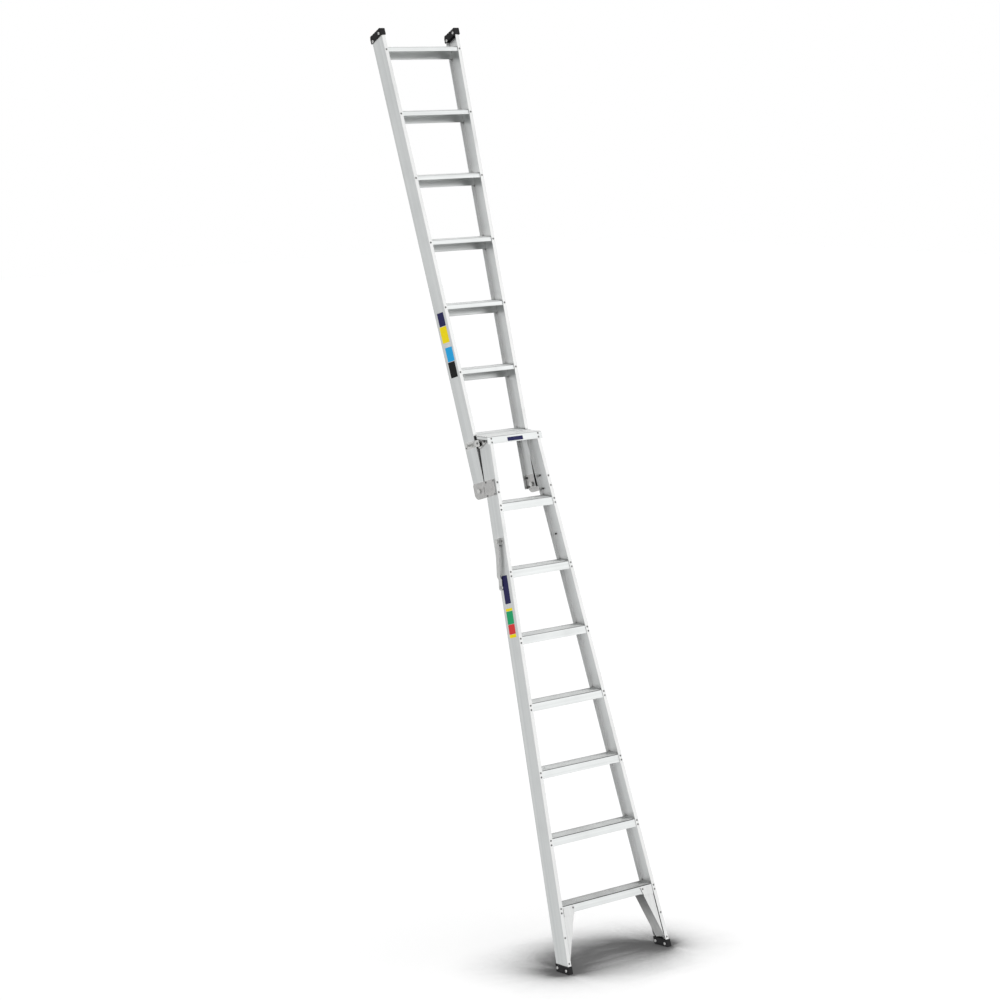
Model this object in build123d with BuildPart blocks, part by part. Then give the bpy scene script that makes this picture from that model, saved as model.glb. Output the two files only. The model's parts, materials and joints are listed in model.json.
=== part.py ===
from build123d import *
import os
from math import cos, hypot, radians, sin, tan

# Combination ladder, set out as a leaning extension ladder: the rear section is swung up above the
# front section and both lean back together. +Z is up, the front faces -Y, left is -X. Millimetres.

# Stance
lean = 16.0  # degrees the rails lean back from plumb when the treads are level
rear_lean = 15.2  # degrees the rear section leans the other way when it stands as a stepladder
fit_gap = 0.2  # assembly gap between pieces riveted or pushed together
run_gap = 0.06  # radial gap of a pin turning in its hole
clear_gap = 0.3  # gap between faces that pass each other
sink = 0.3  # how far an added rib is let into the face that carries it

# Channel rails, both sections
rail_depth = 75.0
rail_flange = 20.0
web_thick = 2.0
flange_thick = 2.5
corner_round = 2.0

# Front section
step_pitch = 300.0  # from step to step along the rails
step_count = 7
first_step = 296.0  # from the floor to the first step's nose, along the rails
front_width = 632.0  # over the rails at the floor
front_taper = 0.0685  # how far each front rail comes in for each unit of its length
step_leg = 36.0  # height of a step's front and rear walls
wall_thick = 2.2
top_thick = 2.6
return_lip = 9.0
nose_round = 4.5  # round along a tread's nose
tread_round = 3.0  # round along a tread's upper rear edge
rib_pitch = 10.0
rib_width = 2.6
rib_height = 1.2

# Platform on top of the front rails
platform_lift = 3.0  # the platform's nose above the next step's place
platform_overhang = 12.8  # past the outside of each front rail
platform_leg = 33.0
platform_rear_leg = 13.0
platform_side_leg = 14.0
platform_reach = 4.5  # how far the platform stands behind the front rails
buffer_tall = 15.0
buffer_wrap = 12.0

# Rear section
rail_gap = 7.5  # between the front rails' backs and the rear rails' fronts
pivot_drop = 224.0  # the fold pivot below the platform's nose
hinge_room = 6.9  # each rear rail's outer face inside the front rail's at the pivot
rear_taper = 0.034  # how far each rear rail goes out for each unit of its length
rear_tail = 17.0  # rail left below the pivot
rear_tread_count = 7
rear_tread_lift = 27.0  # the lowest rear tread's nose above the platform's nose
rear_nose = 20.0  # height of a rear tread's front wall
rear_back = 60.0  # height of a rear tread's back wall

# Feet
foot_wall = 4.0
foot_front_wall = 2.5
foot_height = 33.0
foot_round = 3.0
foot_trim = 1.0  # how much thinner a foot's inner wall is
sole_thick = 9.0
groove_width = 4.0
groove_depth = 2.0
toe_round = 6.0  # round along the front edge of a rear foot's sole
wall_flat = 13.0  # height of the flat on a rear foot's heel that meets the wall

# Knee braces under the first step
brace_skin = 2.0
brace_slot = 3.0  # open slot between the panel and the rail's flange
brace_reach = 85.0  # along the step's lower edge, from the rail's outer face
brace_low = 68.0  # the panel's lower end, up along the rail
brace_tip = 1.8  # the panel's width there
brace_web = 55.0
brace_lap = 8.0  # how far the tab on the step runs down the panel
lip_low = 38.5  # lower end of the lip behind the flange
lip_joggle = 5.3  # from the panel's face back to the lip's face
pad_size = 12.0
pad_low = 46.5  # rivet pads on the lip, up along the rail
pad_high = 160.0

# Fold hinge
plate_thick = 4.0
plate_half = 36.5
plate_front = 7.0
plate_corner = 24.0  # round at the plate's lower rear corner
bolt_radius = 6.0
bolt_head_radius = 11.0
bolt_head = 4.5
boss_radius = 13.0
boss_height = 1.5
nut_thick = 8.0
bolt_tail = 1.0  # thread left past the nut
plate_lap = 1.0  # the outer leaf runs this far into the joggle
doubler_thick = 3.0  # plate inside the rear rail that the bolt turns in
doubler_depth = 66.0
doubler_height = 60.0

# Stays that hold the stepladder open
stay_drop = 245.0  # stay pivot below the fold pivot
stay_depth = 35.0
stay_width = 22.0
stay_thick = 3.0
stay_standoff = 12.0
stay_joggle = 9.0
stay_hang = 8.5  # degrees behind the rail at which a stay hangs
stay_pin_radius = 4.0
bracket_thick = 2.5
bracket_width = 26.0
bracket_foot = 16.0
bracket_height = 30.0
hook_stud_radius = 5.0
hook_stud_length = 17.5
stud_head = 3.0

# Extension lock
lock_stud_radius = 5.0
band_thick = 2.5
band_height = 30.0
band_length = 60.0
lug_width = 26.0
catch_arm = 38.0  # catch pin to lock stud
catch_rise = 1.0  # catch pin above the lock stud
catch_room = 2.0  # room round the stud in the catch's cradle
hook_rise = 2.0  # the hook's tips above the stud's axis
catch_thick = 4.0
catch_standoff = 2.4
catch_wall = 7.0
catch_eye = 9.0
catch_open = 14.0  # degrees the catch hangs below its locking place
catch_pin_radius = 4.0

# Derived measures
lean_sin = sin(radians(lean))
lean_cos = cos(radians(lean))
lean_tan = tan(radians(lean))
sole_tan = tan(radians(rear_lean))
front_stretch = hypot(1, front_taper)
rear_stretch = hypot(1, rear_taper)


def front_half(along):
    """Half the width over the front rails."""
    return front_width / 2 - front_taper * along


platform_nose = first_step + step_count * step_pitch + platform_lift
platform_half = front_half(platform_nose) + platform_overhang
pivot_along = platform_nose - pivot_drop
rear_front = rail_depth + rail_gap
pivot_depth = rear_front + rail_depth / 2
pivot_height = pivot_along * lean_cos - pivot_depth * lean_sin
rear_leg = pivot_height / cos(radians(rear_lean))
rear_half = front_half(pivot_along) - hinge_room


def rear_half_at(along):
    """Half the width over the rear rails."""
    return rear_half + rear_taper * (along - pivot_along)


# The box of the whole ladder is centred on the origin from front to back: its front is the front
# feet's toes and its back is the flats on the rear feet that meet the wall.
heel = rail_depth / 2 + foot_wall
heel_sole = rear_leg - heel * sole_tan
wall_along = pivot_along + (heel_sole - wall_flat) / rear_stretch
wall_reach = wall_along * lean_sin + (pivot_depth + heel) * lean_cos
toe_line = foot_front_wall / lean_cos
middle = (wall_reach - toe_line) / 2

# One leaning frame serves both sections: x across, y from front to back, z up along the rails.
section = Plane(origin=(0, -middle, 0), x_dir=(1, 0, 0), z_dir=(0, lean_sin, lean_cos))


def spot(across, depth, along):
    """A point given across the ladder, back from the front rails' fronts and up along the rails."""
    return section.from_local_coords(Vector(across, depth, along))


def way(across, depth, along):
    """A direction in the leaning frame."""
    return spot(across, depth, along) - section.origin


def cross_plane(across, depth, along):
    """A plane square to the X axis: its x runs back, its y runs up along the rails."""
    return Plane(origin=spot(across, depth, along), x_dir=way(0, 1, 0), z_dir=(1, 0, 0))


def turned(plane, degrees):
    """The same plane turned about its own normal."""
    turn = radians(degrees)
    x_dir = plane.x_dir * cos(turn) + plane.y_dir * sin(turn)
    return Plane(origin=plane.origin, x_dir=x_dir, z_dir=plane.z_dir)


# Left rails: profile planes look up the rail with x inwards and y back, web planes lie on the outer
# faces with x back, y up the rail and z inwards.
front_start = spot(-front_width / 2, 0, 0)
rear_start = spot(-rear_half, rear_front, pivot_along)
rear_pivot = spot(-rear_half, pivot_depth, pivot_along)
front_profile = Plane(origin=front_start, x_dir=way(1, 0, -front_taper), z_dir=way(front_taper, 0, 1))
front_web = Plane(origin=front_start, x_dir=way(0, 1, 0), z_dir=way(1, 0, -front_taper))
rear_profile = Plane(origin=rear_start, x_dir=way(1, 0, rear_taper), z_dir=way(-rear_taper, 0, 1))
rear_web = Plane(origin=rear_pivot, x_dir=way(0, 1, 0), z_dir=way(1, 0, rear_taper))
front_web_right = Plane(
    origin=spot(front_width / 2, 0, 0), x_dir=way(0, 1, 0), z_dir=way(-1, 0, -front_taper)
)
rear_web_right = Plane(
    origin=spot(rear_half, pivot_depth, pivot_along), x_dir=way(0, 1, 0), z_dir=way(-1, 0, rear_taper)
)
front_face = Plane(origin=spot(0, 0, 0), x_dir=(1, 0, 0), z_dir=way(0, -1, 0))

os.makedirs("parts", exist_ok=True)


def keep(builder, name):
    """Labels a finished piece and writes it."""
    builder.part.label = name
    export_step(builder.part, f"parts/{name}.step")


# Channel section of every rail, outer front corner at the sketch's origin
with BuildSketch() as channel:
    Rectangle(rail_flange, rail_depth, align=(Align.MIN, Align.MIN))
    with Locations((web_thick, flange_thick)):
        Rectangle(
            rail_flange, rail_depth - 2 * flange_thick, align=(Align.MIN, Align.MIN), mode=Mode.SUBTRACT
        )
    fillet(channel.vertices().group_by(Axis.X)[0], corner_round)

# The same section with room round it, for the slots in the feet
with BuildSketch() as channel_room:
    add(channel.sketch)
    offset(amount=fit_gap, kind=Kind.INTERSECTION)

# Front rails
platform_under = platform_nose * lean_cos + (wall_thick + fit_gap) * lean_sin - top_thick
catch_cradle = lock_stud_radius + catch_room
lock_along = platform_nose - platform_side_leg
lock_depth = rear_front - catch_wall - catch_cradle - rail_gap / 3
catch_depth = lock_depth - catch_arm
catch_along = lock_along + catch_rise
with BuildPart() as front_rail_left:
    with BuildSketch(front_profile.offset(-rail_depth)):
        add(channel.sketch)
    extrude(amount=(platform_nose + 2 * rail_depth) * front_stretch)
    split(bisect_by=Plane.XY.offset(sole_thick), keep=Keep.TOP)
    split(bisect_by=Plane.XY.offset(platform_under - fit_gap), keep=Keep.BOTTOM)
    with BuildSketch(cross_plane(-front_half(catch_along) - rail_flange, catch_depth, catch_along)):
        Circle(catch_pin_radius + run_gap)
    extrude(amount=1.6 * rail_flange, mode=Mode.SUBTRACT)


def tread_points(front, rear, front_leg, back_leg, front_lip, back_lip):
    """Outline of a bent tread with a level top, its nose at the sketch's origin height."""
    rise = (rear - front) * lean_tan
    back_low = rise - back_leg
    inner_rear = rear - wall_thick
    inner_front = front + wall_thick
    outline = [
        (front, 0),
        (rear, rise),
        (rear, back_low),
        (rear - back_lip, back_low - back_lip * lean_tan),
        (rear - back_lip, back_low - back_lip * lean_tan + wall_thick),
        (inner_rear, back_low - wall_thick * lean_tan + wall_thick),
        (inner_rear, (inner_rear - front) * lean_tan - top_thick),
        (inner_front, wall_thick * lean_tan - top_thick),
        (inner_front, wall_thick * lean_tan - front_leg + wall_thick),
        (front + front_lip, front_lip * lean_tan - front_leg + wall_thick),
        (front + front_lip, front_lip * lean_tan - front_leg),
        (front, -front_leg),
    ]
    # a lip no longer than the wall is thick adds no corners of its own
    steps = zip(outline, outline[-1:] + outline[:-1])
    return [here for here, last in steps if hypot(here[0] - last[0], here[1] - last[1]) > 0.01]


def rib_spots(front, rear):
    """Feet of the grip ribs along a tread's level top."""
    count = int((rear - front) / rib_pitch - 0.5)
    start = (rear - front - (count - 1) * rib_pitch) / 2
    depths = [start + index * rib_pitch for index in range(count)]
    return [(front + depth, depth * lean_tan - sink) for depth in depths]


def round_top(tread):
    """Rounds the nose and the upper rear edge of a tread's outline."""
    fillet(tread.vertices().group_by(Axis.X)[0].sort_by(Axis.Y)[-1], nose_round)
    fillet(tread.vertices().group_by(Axis.X)[-1].sort_by(Axis.Y)[-1], tread_round)


# Section of a front step, from inside the front flange to inside the rear flange
step_front = flange_thick
step_rear = rail_depth - flange_thick
with BuildSketch() as step_section:
    with BuildLine():
        Polyline(*tread_points(step_front, step_rear, step_leg, step_leg, return_lip, return_lip), close=True)
    make_face()
    round_top(step_section)
    with Locations(*rib_spots(step_front, step_rear)):
        Rectangle(rib_width, rib_height + sink, rotation=lean, align=(Align.CENTER, Align.MIN))

for index in range(step_count):
    with BuildPart() as front_step:
        with BuildSketch(cross_plane(0, 0, first_step + index * step_pitch)):
            add(step_section.sketch)
        extrude(amount=front_width / 2, both=True)
        split(bisect_by=front_web.offset(web_thick + fit_gap), keep=Keep.TOP)
        split(bisect_by=front_web_right.offset(web_thick + fit_gap), keep=Keep.TOP)
    keep(front_step, f"front_step_{index + 1}")

# Platform: a wide bent tread that caps the rails, with a front wall over their front flanges and a
# short wall down each side
platform_front = -wall_thick - fit_gap
platform_rear = rail_depth + platform_reach
platform_sweep = platform_rear - platform_front
platform_rise = platform_sweep * lean_tan
platform_bevel = 0.8 * (wall_thick + top_thick)
with BuildSketch() as platform_section:
    with BuildLine():
        Polyline(
            *tread_points(
                platform_front, platform_rear, platform_leg, platform_rear_leg, wall_thick, wall_thick
            ),
            close=True,
        )
    make_face()
    round_top(platform_section)
    with Locations(*rib_spots(platform_front, platform_rear)):
        Rectangle(rib_width, rib_height + sink, rotation=lean, align=(Align.CENTER, Align.MIN))
with BuildPart() as platform:
    with BuildSketch(cross_plane(0, 0, platform_nose)):
        add(platform_section.sketch)
    extrude(amount=platform_half, both=True)
    for edge in (-platform_half, platform_half - wall_thick):
        with BuildSketch(cross_plane(edge, 0, platform_nose)) as side_wall:
            with BuildLine():
                Polyline(
                    (platform_front, 0),
                    (platform_rear, platform_rise),
                    (platform_rear, platform_rise - platform_side_leg),
                    (platform_front, -platform_side_leg),
                    close=True,
                )
            make_face()
            round_top(side_wall)
        extrude(amount=wall_thick)
    for side in (-1, 1):
        bevel_edge = spot(side * (platform_half - platform_bevel), platform_front, platform_nose)
        split(bisect_by=Plane(origin=bevel_edge, z_dir=(side, 0, 1)), keep=Keep.BOTTOM)
keep(platform, "platform")

# Buffers on the platform's rear corners, which the rear rails close against
buffer_thick = rail_gap - platform_reach - clear_gap
buffer_base = platform_nose + platform_rise - platform_rear_leg - 2 * wall_thick
with BuildPart() as platform_buffer_left:
    with BuildSketch(Plane(origin=spot(0, 0, buffer_base), x_dir=(1, 0, 0), z_dir=section.z_dir)):
        with Locations((-platform_half - buffer_thick, platform_rear)):
            Rectangle(rail_flange, buffer_thick, align=(Align.MIN, Align.MIN))
        with Locations((-platform_half, platform_rear + buffer_thick)):
            Rectangle(buffer_thick, buffer_wrap, align=(Align.MAX, Align.MAX))
    extrude(amount=buffer_tall)

# Rear rails
sole_plane = Plane(
    origin=rear_web.from_local_coords(Vector(0, rear_leg, 0)),
    x_dir=(1, 0, 0),
    z_dir=way(0, sin(radians(rear_lean)), cos(radians(rear_lean))),
)
with BuildPart() as rear_rail_left:
    with BuildSketch(rear_profile.offset(-rear_tail)):
        add(channel.sketch)
    extrude(amount=rear_leg + rail_depth)
    split(bisect_by=sole_plane.offset(-sole_thick), keep=Keep.BOTTOM)
    with BuildSketch(cross_plane(-rear_half - rail_flange, pivot_depth, pivot_along)):
        Circle(bolt_radius + fit_gap)
    extrude(amount=1.6 * rail_flange, mode=Mode.SUBTRACT)

# Section of a rear tread: a short nose and a deep back wall
rear_step_front = rear_front + flange_thick
rear_step_rear = rear_front + rail_depth - flange_thick
nose_lip = return_lip / 2
with BuildSketch() as rear_tread_section:
    with BuildLine():
        Polyline(
            *tread_points(rear_step_front, rear_step_rear, rear_nose, rear_back, nose_lip, return_lip),
            close=True,
        )
    make_face()
    round_top(rear_tread_section)
    with Locations(*rib_spots(rear_step_front, rear_step_rear)):
        Rectangle(rib_width, rib_height + sink, rotation=lean, align=(Align.CENTER, Align.MIN))

for index in range(rear_tread_count):
    nose = platform_nose + rear_tread_lift + index * step_pitch
    with BuildPart() as rear_tread:
        with BuildSketch(cross_plane(0, 0, nose)):
            add(rear_tread_section.sketch)
        extrude(amount=front_width / 2, both=True)
        split(bisect_by=rear_web.offset(web_thick + fit_gap), keep=Keep.TOP)
        split(bisect_by=rear_web_right.offset(web_thick + fit_gap), keep=Keep.TOP)
    keep(rear_tread, f"rear_tread_{index + 1}")

# Front feet: moulded boots round the rail ends, with a hollow core and grooved soles
foot_wide = rail_flange + 2 * foot_wall - foot_trim
core_wide = rail_flange - web_thick - foot_wall
core_deep = rail_depth - 2 * flange_thick - 2 * foot_wall
with BuildPart() as front_slot:
    with BuildSketch(front_profile.offset(-rail_depth)):
        add(channel_room.sketch)
    extrude(amount=3 * rail_depth)
    split(bisect_by=Plane.XY.offset(sole_thick - fit_gap), keep=Keep.TOP)
with BuildPart() as front_core:
    with BuildSketch(front_profile.offset(-rail_depth)):
        with Locations((web_thick + foot_wall, rail_depth / 2)):
            Rectangle(core_wide, core_deep, align=(Align.MIN, Align.CENTER))
    extrude(amount=3 * rail_depth)
    split(bisect_by=Plane.XY.offset(1.6 * sole_thick), keep=Keep.TOP)
foot_across = -front_width / 2 + foot_wide / 2 - foot_wall
foot_middle = spot(foot_across, rail_depth / 2, rail_depth / 2 * lean_tan)
with BuildPart() as front_foot_left:
    with BuildSketch(front_profile.offset(-rail_depth)):
        with Locations((-foot_wall, -foot_front_wall)):
            RectangleRounded(
                foot_wide, rail_depth + 2 * foot_front_wall, foot_round, align=(Align.MIN, Align.MIN)
            )
    extrude(amount=3 * rail_depth)
    split(bisect_by=Plane.XY, keep=Keep.TOP)
    split(bisect_by=Plane.XY.offset(foot_height), keep=Keep.BOTTOM)
    add(front_slot.part, mode=Mode.SUBTRACT)
    add(front_core.part, mode=Mode.SUBTRACT)
    with BuildSketch(Plane.XY):
        with Locations((foot_middle.X, foot_middle.Y)):
            with GridLocations(rail_depth, rail_depth / 5, 1, 4):
                Rectangle(2 * foot_wide, groove_width)
    extrude(amount=groove_depth, mode=Mode.SUBTRACT)

# Rear feet: moulded boots with a sole that lies flat when the stepladder stands open and a flat at
# the heel that meets the wall when the ladder leans
rear_slot_start = rear_profile.offset(rear_leg - 2 * rail_depth)
with BuildPart() as rear_slot:
    with BuildSketch(rear_slot_start):
        add(channel_room.sketch)
    extrude(amount=3 * rail_depth)
    split(bisect_by=sole_plane.offset(fit_gap - sole_thick), keep=Keep.BOTTOM)
with BuildPart() as rear_core:
    with BuildSketch(rear_slot_start):
        with Locations((web_thick + foot_wall, rail_depth / 2)):
            Rectangle(core_wide, core_deep, align=(Align.MIN, Align.CENTER))
    extrude(amount=3 * rail_depth)
    split(bisect_by=sole_plane.offset(-1.6 * sole_thick), keep=Keep.BOTTOM)
wall_plane = Plane(origin=(0, wall_reach - middle, 0), x_dir=(1, 0, 0), z_dir=(0, 1, 0))
with BuildPart() as rear_foot_left:
    with BuildSketch(rear_web.offset(-foot_wall)):
        with BuildLine():
            Polyline(
                (heel, heel_sole - foot_height),
                (heel, rear_leg + foot_height),
                (-heel, rear_leg + foot_height),
                (-heel, rear_leg + heel * sole_tan - foot_height),
                close=True,
            )
        make_face()
    extrude(amount=foot_wide)
    split(bisect_by=sole_plane, keep=Keep.BOTTOM)
    split(bisect_by=wall_plane, keep=Keep.BOTTOM)
    fillet(rear_foot_left.edges().filter_by(Axis.X).sort_by(Axis.Z)[-1], toe_round)
    add(rear_slot.part, mode=Mode.SUBTRACT)
    add(rear_core.part, mode=Mode.SUBTRACT)
    with BuildSketch(sole_plane):
        with GridLocations(rail_depth, rail_depth / 5, 1, 4):
            Rectangle(4 * foot_wide, groove_width)
    extrude(amount=-groove_depth, mode=Mode.SUBTRACT)

# Knee braces: a tapered panel set just behind the rail's front flange, with a tab over the first
# step's front wall, a deep web folded back along its sloping edge and a lip joggled back behind the
# flange, where two raised pads take its rivets
brace_front = flange_thick - fit_gap - brace_skin
brace_back = flange_thick + fit_gap
brace_top = first_step - nose_round - brace_skin
step_low = first_step - step_leg
panel_top = step_low - brace_skin
panel_edge = rail_flange + brace_slot
tab_low = panel_top - brace_lap
web_low = (foot_height + (brace_back + brace_web) * lean_sin) / lean_cos + brace_skin
brace_foot = panel_edge + brace_tip - front_half(brace_low)
brace_slope = (brace_reach - front_half(step_low) - brace_foot) / (step_low - brace_low)


def beside_rail(inward, along):
    """A point in from the left rail's outer face and up along the rail."""
    return (inward - front_half(along), along)


def brace_edge(along, outward=0):
    """A point on the brace's sloping edge, or out from it towards the rail."""
    return (brace_foot + brace_slope * (along - brace_low) - outward, along)


def brace_outline(depth, *corners):
    """A flat outline with these corners, at a depth behind the rails' fronts."""
    with BuildSketch(front_face.offset(-depth)) as outline:
        with BuildLine():
            Polyline(*corners, close=True)
        make_face()
    return outline.sketch


fold_width = 1.1 * brace_skin
lip_front = brace_back + lip_joggle
lip_edge = panel_edge + brace_skin
panel_side = (beside_rail(panel_edge, brace_low), beside_rail(panel_edge, panel_top))
panel_fold = (brace_edge(panel_top), brace_edge(brace_low))
tab_side = (beside_rail(panel_edge, tab_low), beside_rail(panel_edge, brace_top))
tab_fold = (brace_edge(brace_top), brace_edge(tab_low))
lap_side = (beside_rail(panel_edge, tab_low), beside_rail(panel_edge, panel_top))
lap_fold = (brace_edge(panel_top), brace_edge(tab_low))
web_side = (brace_edge(panel_top, fold_width), brace_edge(web_low, fold_width))
web_fold = (brace_edge(web_low), brace_edge(panel_top))
lip_side = (beside_rail(2 * web_thick, lip_low), beside_rail(2 * web_thick, panel_top))
lip_fold = (beside_rail(lip_edge, panel_top), beside_rail(lip_edge, brace_low))
lip_end = (beside_rail(rail_flange, web_low), beside_rail(rail_flange, lip_low))
with BuildPart() as knee_brace_left:
    extrude(brace_outline(brace_back, *panel_side, *panel_fold), amount=-brace_skin)
    extrude(brace_outline(brace_front, *tab_side, *tab_fold), amount=-brace_skin)
    extrude(brace_outline(brace_front, *lap_side, *lap_fold), amount=brace_front - brace_back - brace_skin)
    extrude(brace_outline(brace_back, *web_side, *web_fold), amount=-brace_web)
    extrude(brace_outline(brace_back, *panel_side, *lip_fold), amount=-lip_joggle - brace_skin)
    extrude(brace_outline(lip_front, *lip_side, *lip_fold, *lip_end), amount=-brace_skin)
    with BuildSketch(front_face.offset(-brace_back)):
        with Locations(beside_rail(rail_flange / 2, pad_low), beside_rail(rail_flange / 2, pad_high)):
            Rectangle(pad_size, pad_size)
    extrude(amount=-lip_joggle)

# Fold hinge: a plate on the outside of the front rail, joggled inwards behind it to run close to the
# rear rail, with a welded boss there, a bolt through the boss, a doubler in the rear rail and a nut
joggle_front = rail_depth + wall_thick / 2
joggle_rear = rear_front + 0.6 * rail_gap
plate_inner = rear_half + rear_taper * plate_half + clear_gap + fit_gap
plate_outer = plate_inner + plate_thick
boss_outer = plate_outer + boss_height


def plate_section(depth):
    """A plane square to the depth: its x runs outwards on the left, its y runs up along the rails."""
    return Plane(origin=spot(0, depth, pivot_along), x_dir=(-1, 0, 0), z_dir=way(0, 1, 0))


plate_high = front_half(pivot_along + plate_half)
plate_low = front_half(pivot_along - plate_half)
with BuildPart() as hinge_plate_left:
    with BuildSketch(front_web):
        with Locations((plate_front, pivot_along * front_stretch)):
            Rectangle(joggle_front + plate_lap - plate_front, 2 * plate_half, align=(Align.MIN, Align.CENTER))
    extrude(amount=-plate_thick)
    with BuildSketch(plate_section(joggle_front)):
        with BuildLine():
            Polyline(
                (plate_high, plate_half),
                (plate_high + plate_thick, plate_half),
                (plate_low + plate_thick, -plate_half),
                (plate_low, -plate_half),
                close=True,
            )
        make_face()
    with BuildSketch(plate_section(joggle_rear)):
        with Locations((plate_inner, 0)):
            Rectangle(plate_thick, 2 * plate_half, align=(Align.MIN, Align.CENTER))
    loft(ruled=True)
    with BuildSketch(cross_plane(-plate_outer, pivot_depth, pivot_along)) as plate_rear:
        with Locations((joggle_rear - pivot_depth, 0)):
            Rectangle(
                rear_front + rail_depth - corner_round - joggle_rear,
                2 * plate_half,
                align=(Align.MIN, Align.CENTER),
            )
        fillet(plate_rear.vertices().group_by(Axis.X)[-1].sort_by(Axis.Y)[0], plate_corner)
        chamfer(plate_rear.vertices().group_by(Axis.X)[-1].sort_by(Axis.Y)[-1], plate_corner / 4)
    extrude(amount=plate_thick)
    with BuildSketch(cross_plane(-boss_outer, pivot_depth, pivot_along)):
        Circle(boss_radius)
    extrude(amount=boss_outer - plate_inner)
    with BuildSketch(cross_plane(-boss_outer, pivot_depth, pivot_along)):
        Circle(bolt_radius + run_gap)
    extrude(amount=boss_outer - plate_inner, mode=Mode.SUBTRACT)
    with BuildSketch(cross_plane(-front_width / 2, rear_front + wall_thick / 2, pivot_along)):
        with Locations((0, -plate_half / 8)):
            Rectangle(0.7 * rail_gap, 0.9 * plate_half)
    extrude(amount=front_width / 2, mode=Mode.SUBTRACT)

doubler_start = web_thick + fit_gap / 2
nut_outer = rear_half - doubler_start - doubler_thick - rear_taper * bolt_head_radius - clear_gap
with BuildPart() as pivot_doubler_left:
    with BuildSketch(rear_web.offset(doubler_start)):
        with Locations((0, -rear_tail + web_thick)):
            Rectangle(doubler_depth, doubler_height, align=(Align.CENTER, Align.MIN))
    extrude(amount=doubler_thick)
    with BuildSketch(cross_plane(-rear_half, pivot_depth, pivot_along)):
        Circle(bolt_radius + run_gap)
    extrude(amount=rail_flange, mode=Mode.SUBTRACT)
with BuildPart() as pivot_bolts:
    with BuildSketch(cross_plane(-boss_outer - bolt_head, pivot_depth, pivot_along)):
        RegularPolygon(radius=bolt_head_radius, side_count=6)
    extrude(amount=bolt_head)
    with BuildSketch(cross_plane(-boss_outer, pivot_depth, pivot_along)):
        Circle(bolt_radius)
    extrude(amount=boss_outer - nut_outer + nut_thick + bolt_tail)
    mirror(about=Plane.YZ)
keep(pivot_bolts, "pivot_bolts")
with BuildPart() as pivot_nuts:
    with BuildSketch(cross_plane(-nut_outer, pivot_depth, pivot_along)):
        RegularPolygon(radius=bolt_head_radius, side_count=6)
        Circle(bolt_radius + run_gap, mode=Mode.SUBTRACT)
    extrude(amount=nut_thick)
    mirror(about=Plane.YZ)
keep(pivot_nuts, "pivot_nuts")

# Stays: a hat-shaped bracket on the front rail's outer face, a pivot rivet through its crown and a
# joggled strap with a hook notch in its front edge
stay_along = pivot_along - stay_drop
stay_plane = Plane(
    origin=front_web.from_local_coords(Vector(stay_depth, stay_along * front_stretch, 0)),
    x_dir=front_web.x_dir,
    z_dir=front_web.z_dir,
)
lock_setback = pivot_depth - lock_depth
lock_reach = lock_along - pivot_along
open_fold = radians(180 - lean - rear_lean)
stud_open_depth = pivot_depth + lock_reach * sin(open_fold)
stud_open_along = pivot_along + lock_reach * cos(open_fold)
stay_length = hypot(stud_open_depth - stay_depth, (stud_open_along - stay_along) * front_stretch)
crown = bracket_width / 2
brim = crown + bracket_foot
with BuildPart() as stay_bracket_left:
    with BuildSketch(Plane(origin=stay_plane.origin, x_dir=stay_plane.x_dir, z_dir=stay_plane.y_dir)):
        with BuildLine():
            Polyline(
                (-brim, 0),
                (-brim, bracket_thick),
                (-crown, bracket_thick),
                (-crown, stay_standoff),
                (crown, stay_standoff),
                (crown, bracket_thick),
                (brim, bracket_thick),
                (brim, 0),
                (crown - bracket_thick, 0),
                (crown - bracket_thick, stay_standoff - bracket_thick),
                (bracket_thick - crown, stay_standoff - bracket_thick),
                (bracket_thick - crown, 0),
                close=True,
            )
        make_face()
    extrude(amount=bracket_height / 2, both=True)
    with BuildSketch(stay_plane):
        Circle(stay_pin_radius + run_gap)
    extrude(amount=-2 * stay_standoff, mode=Mode.SUBTRACT)

strap_inner = stay_standoff + clear_gap
strap_outer = strap_inner + stay_thick
head_inner = strap_outer + clear_gap
tail = stay_standoff - 2 * bracket_thick
with BuildPart() as stay_pivots:
    with BuildSketch(stay_plane.offset(-tail)):
        Circle(stay_pin_radius)
    extrude(amount=tail - head_inner)
    with BuildSketch(stay_plane.offset(-head_inner)):
        Circle(2 * stay_pin_radius)
    extrude(amount=-bracket_thick)
    mirror(about=Plane.YZ)
keep(stay_pivots, "stay_pivots")

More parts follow.
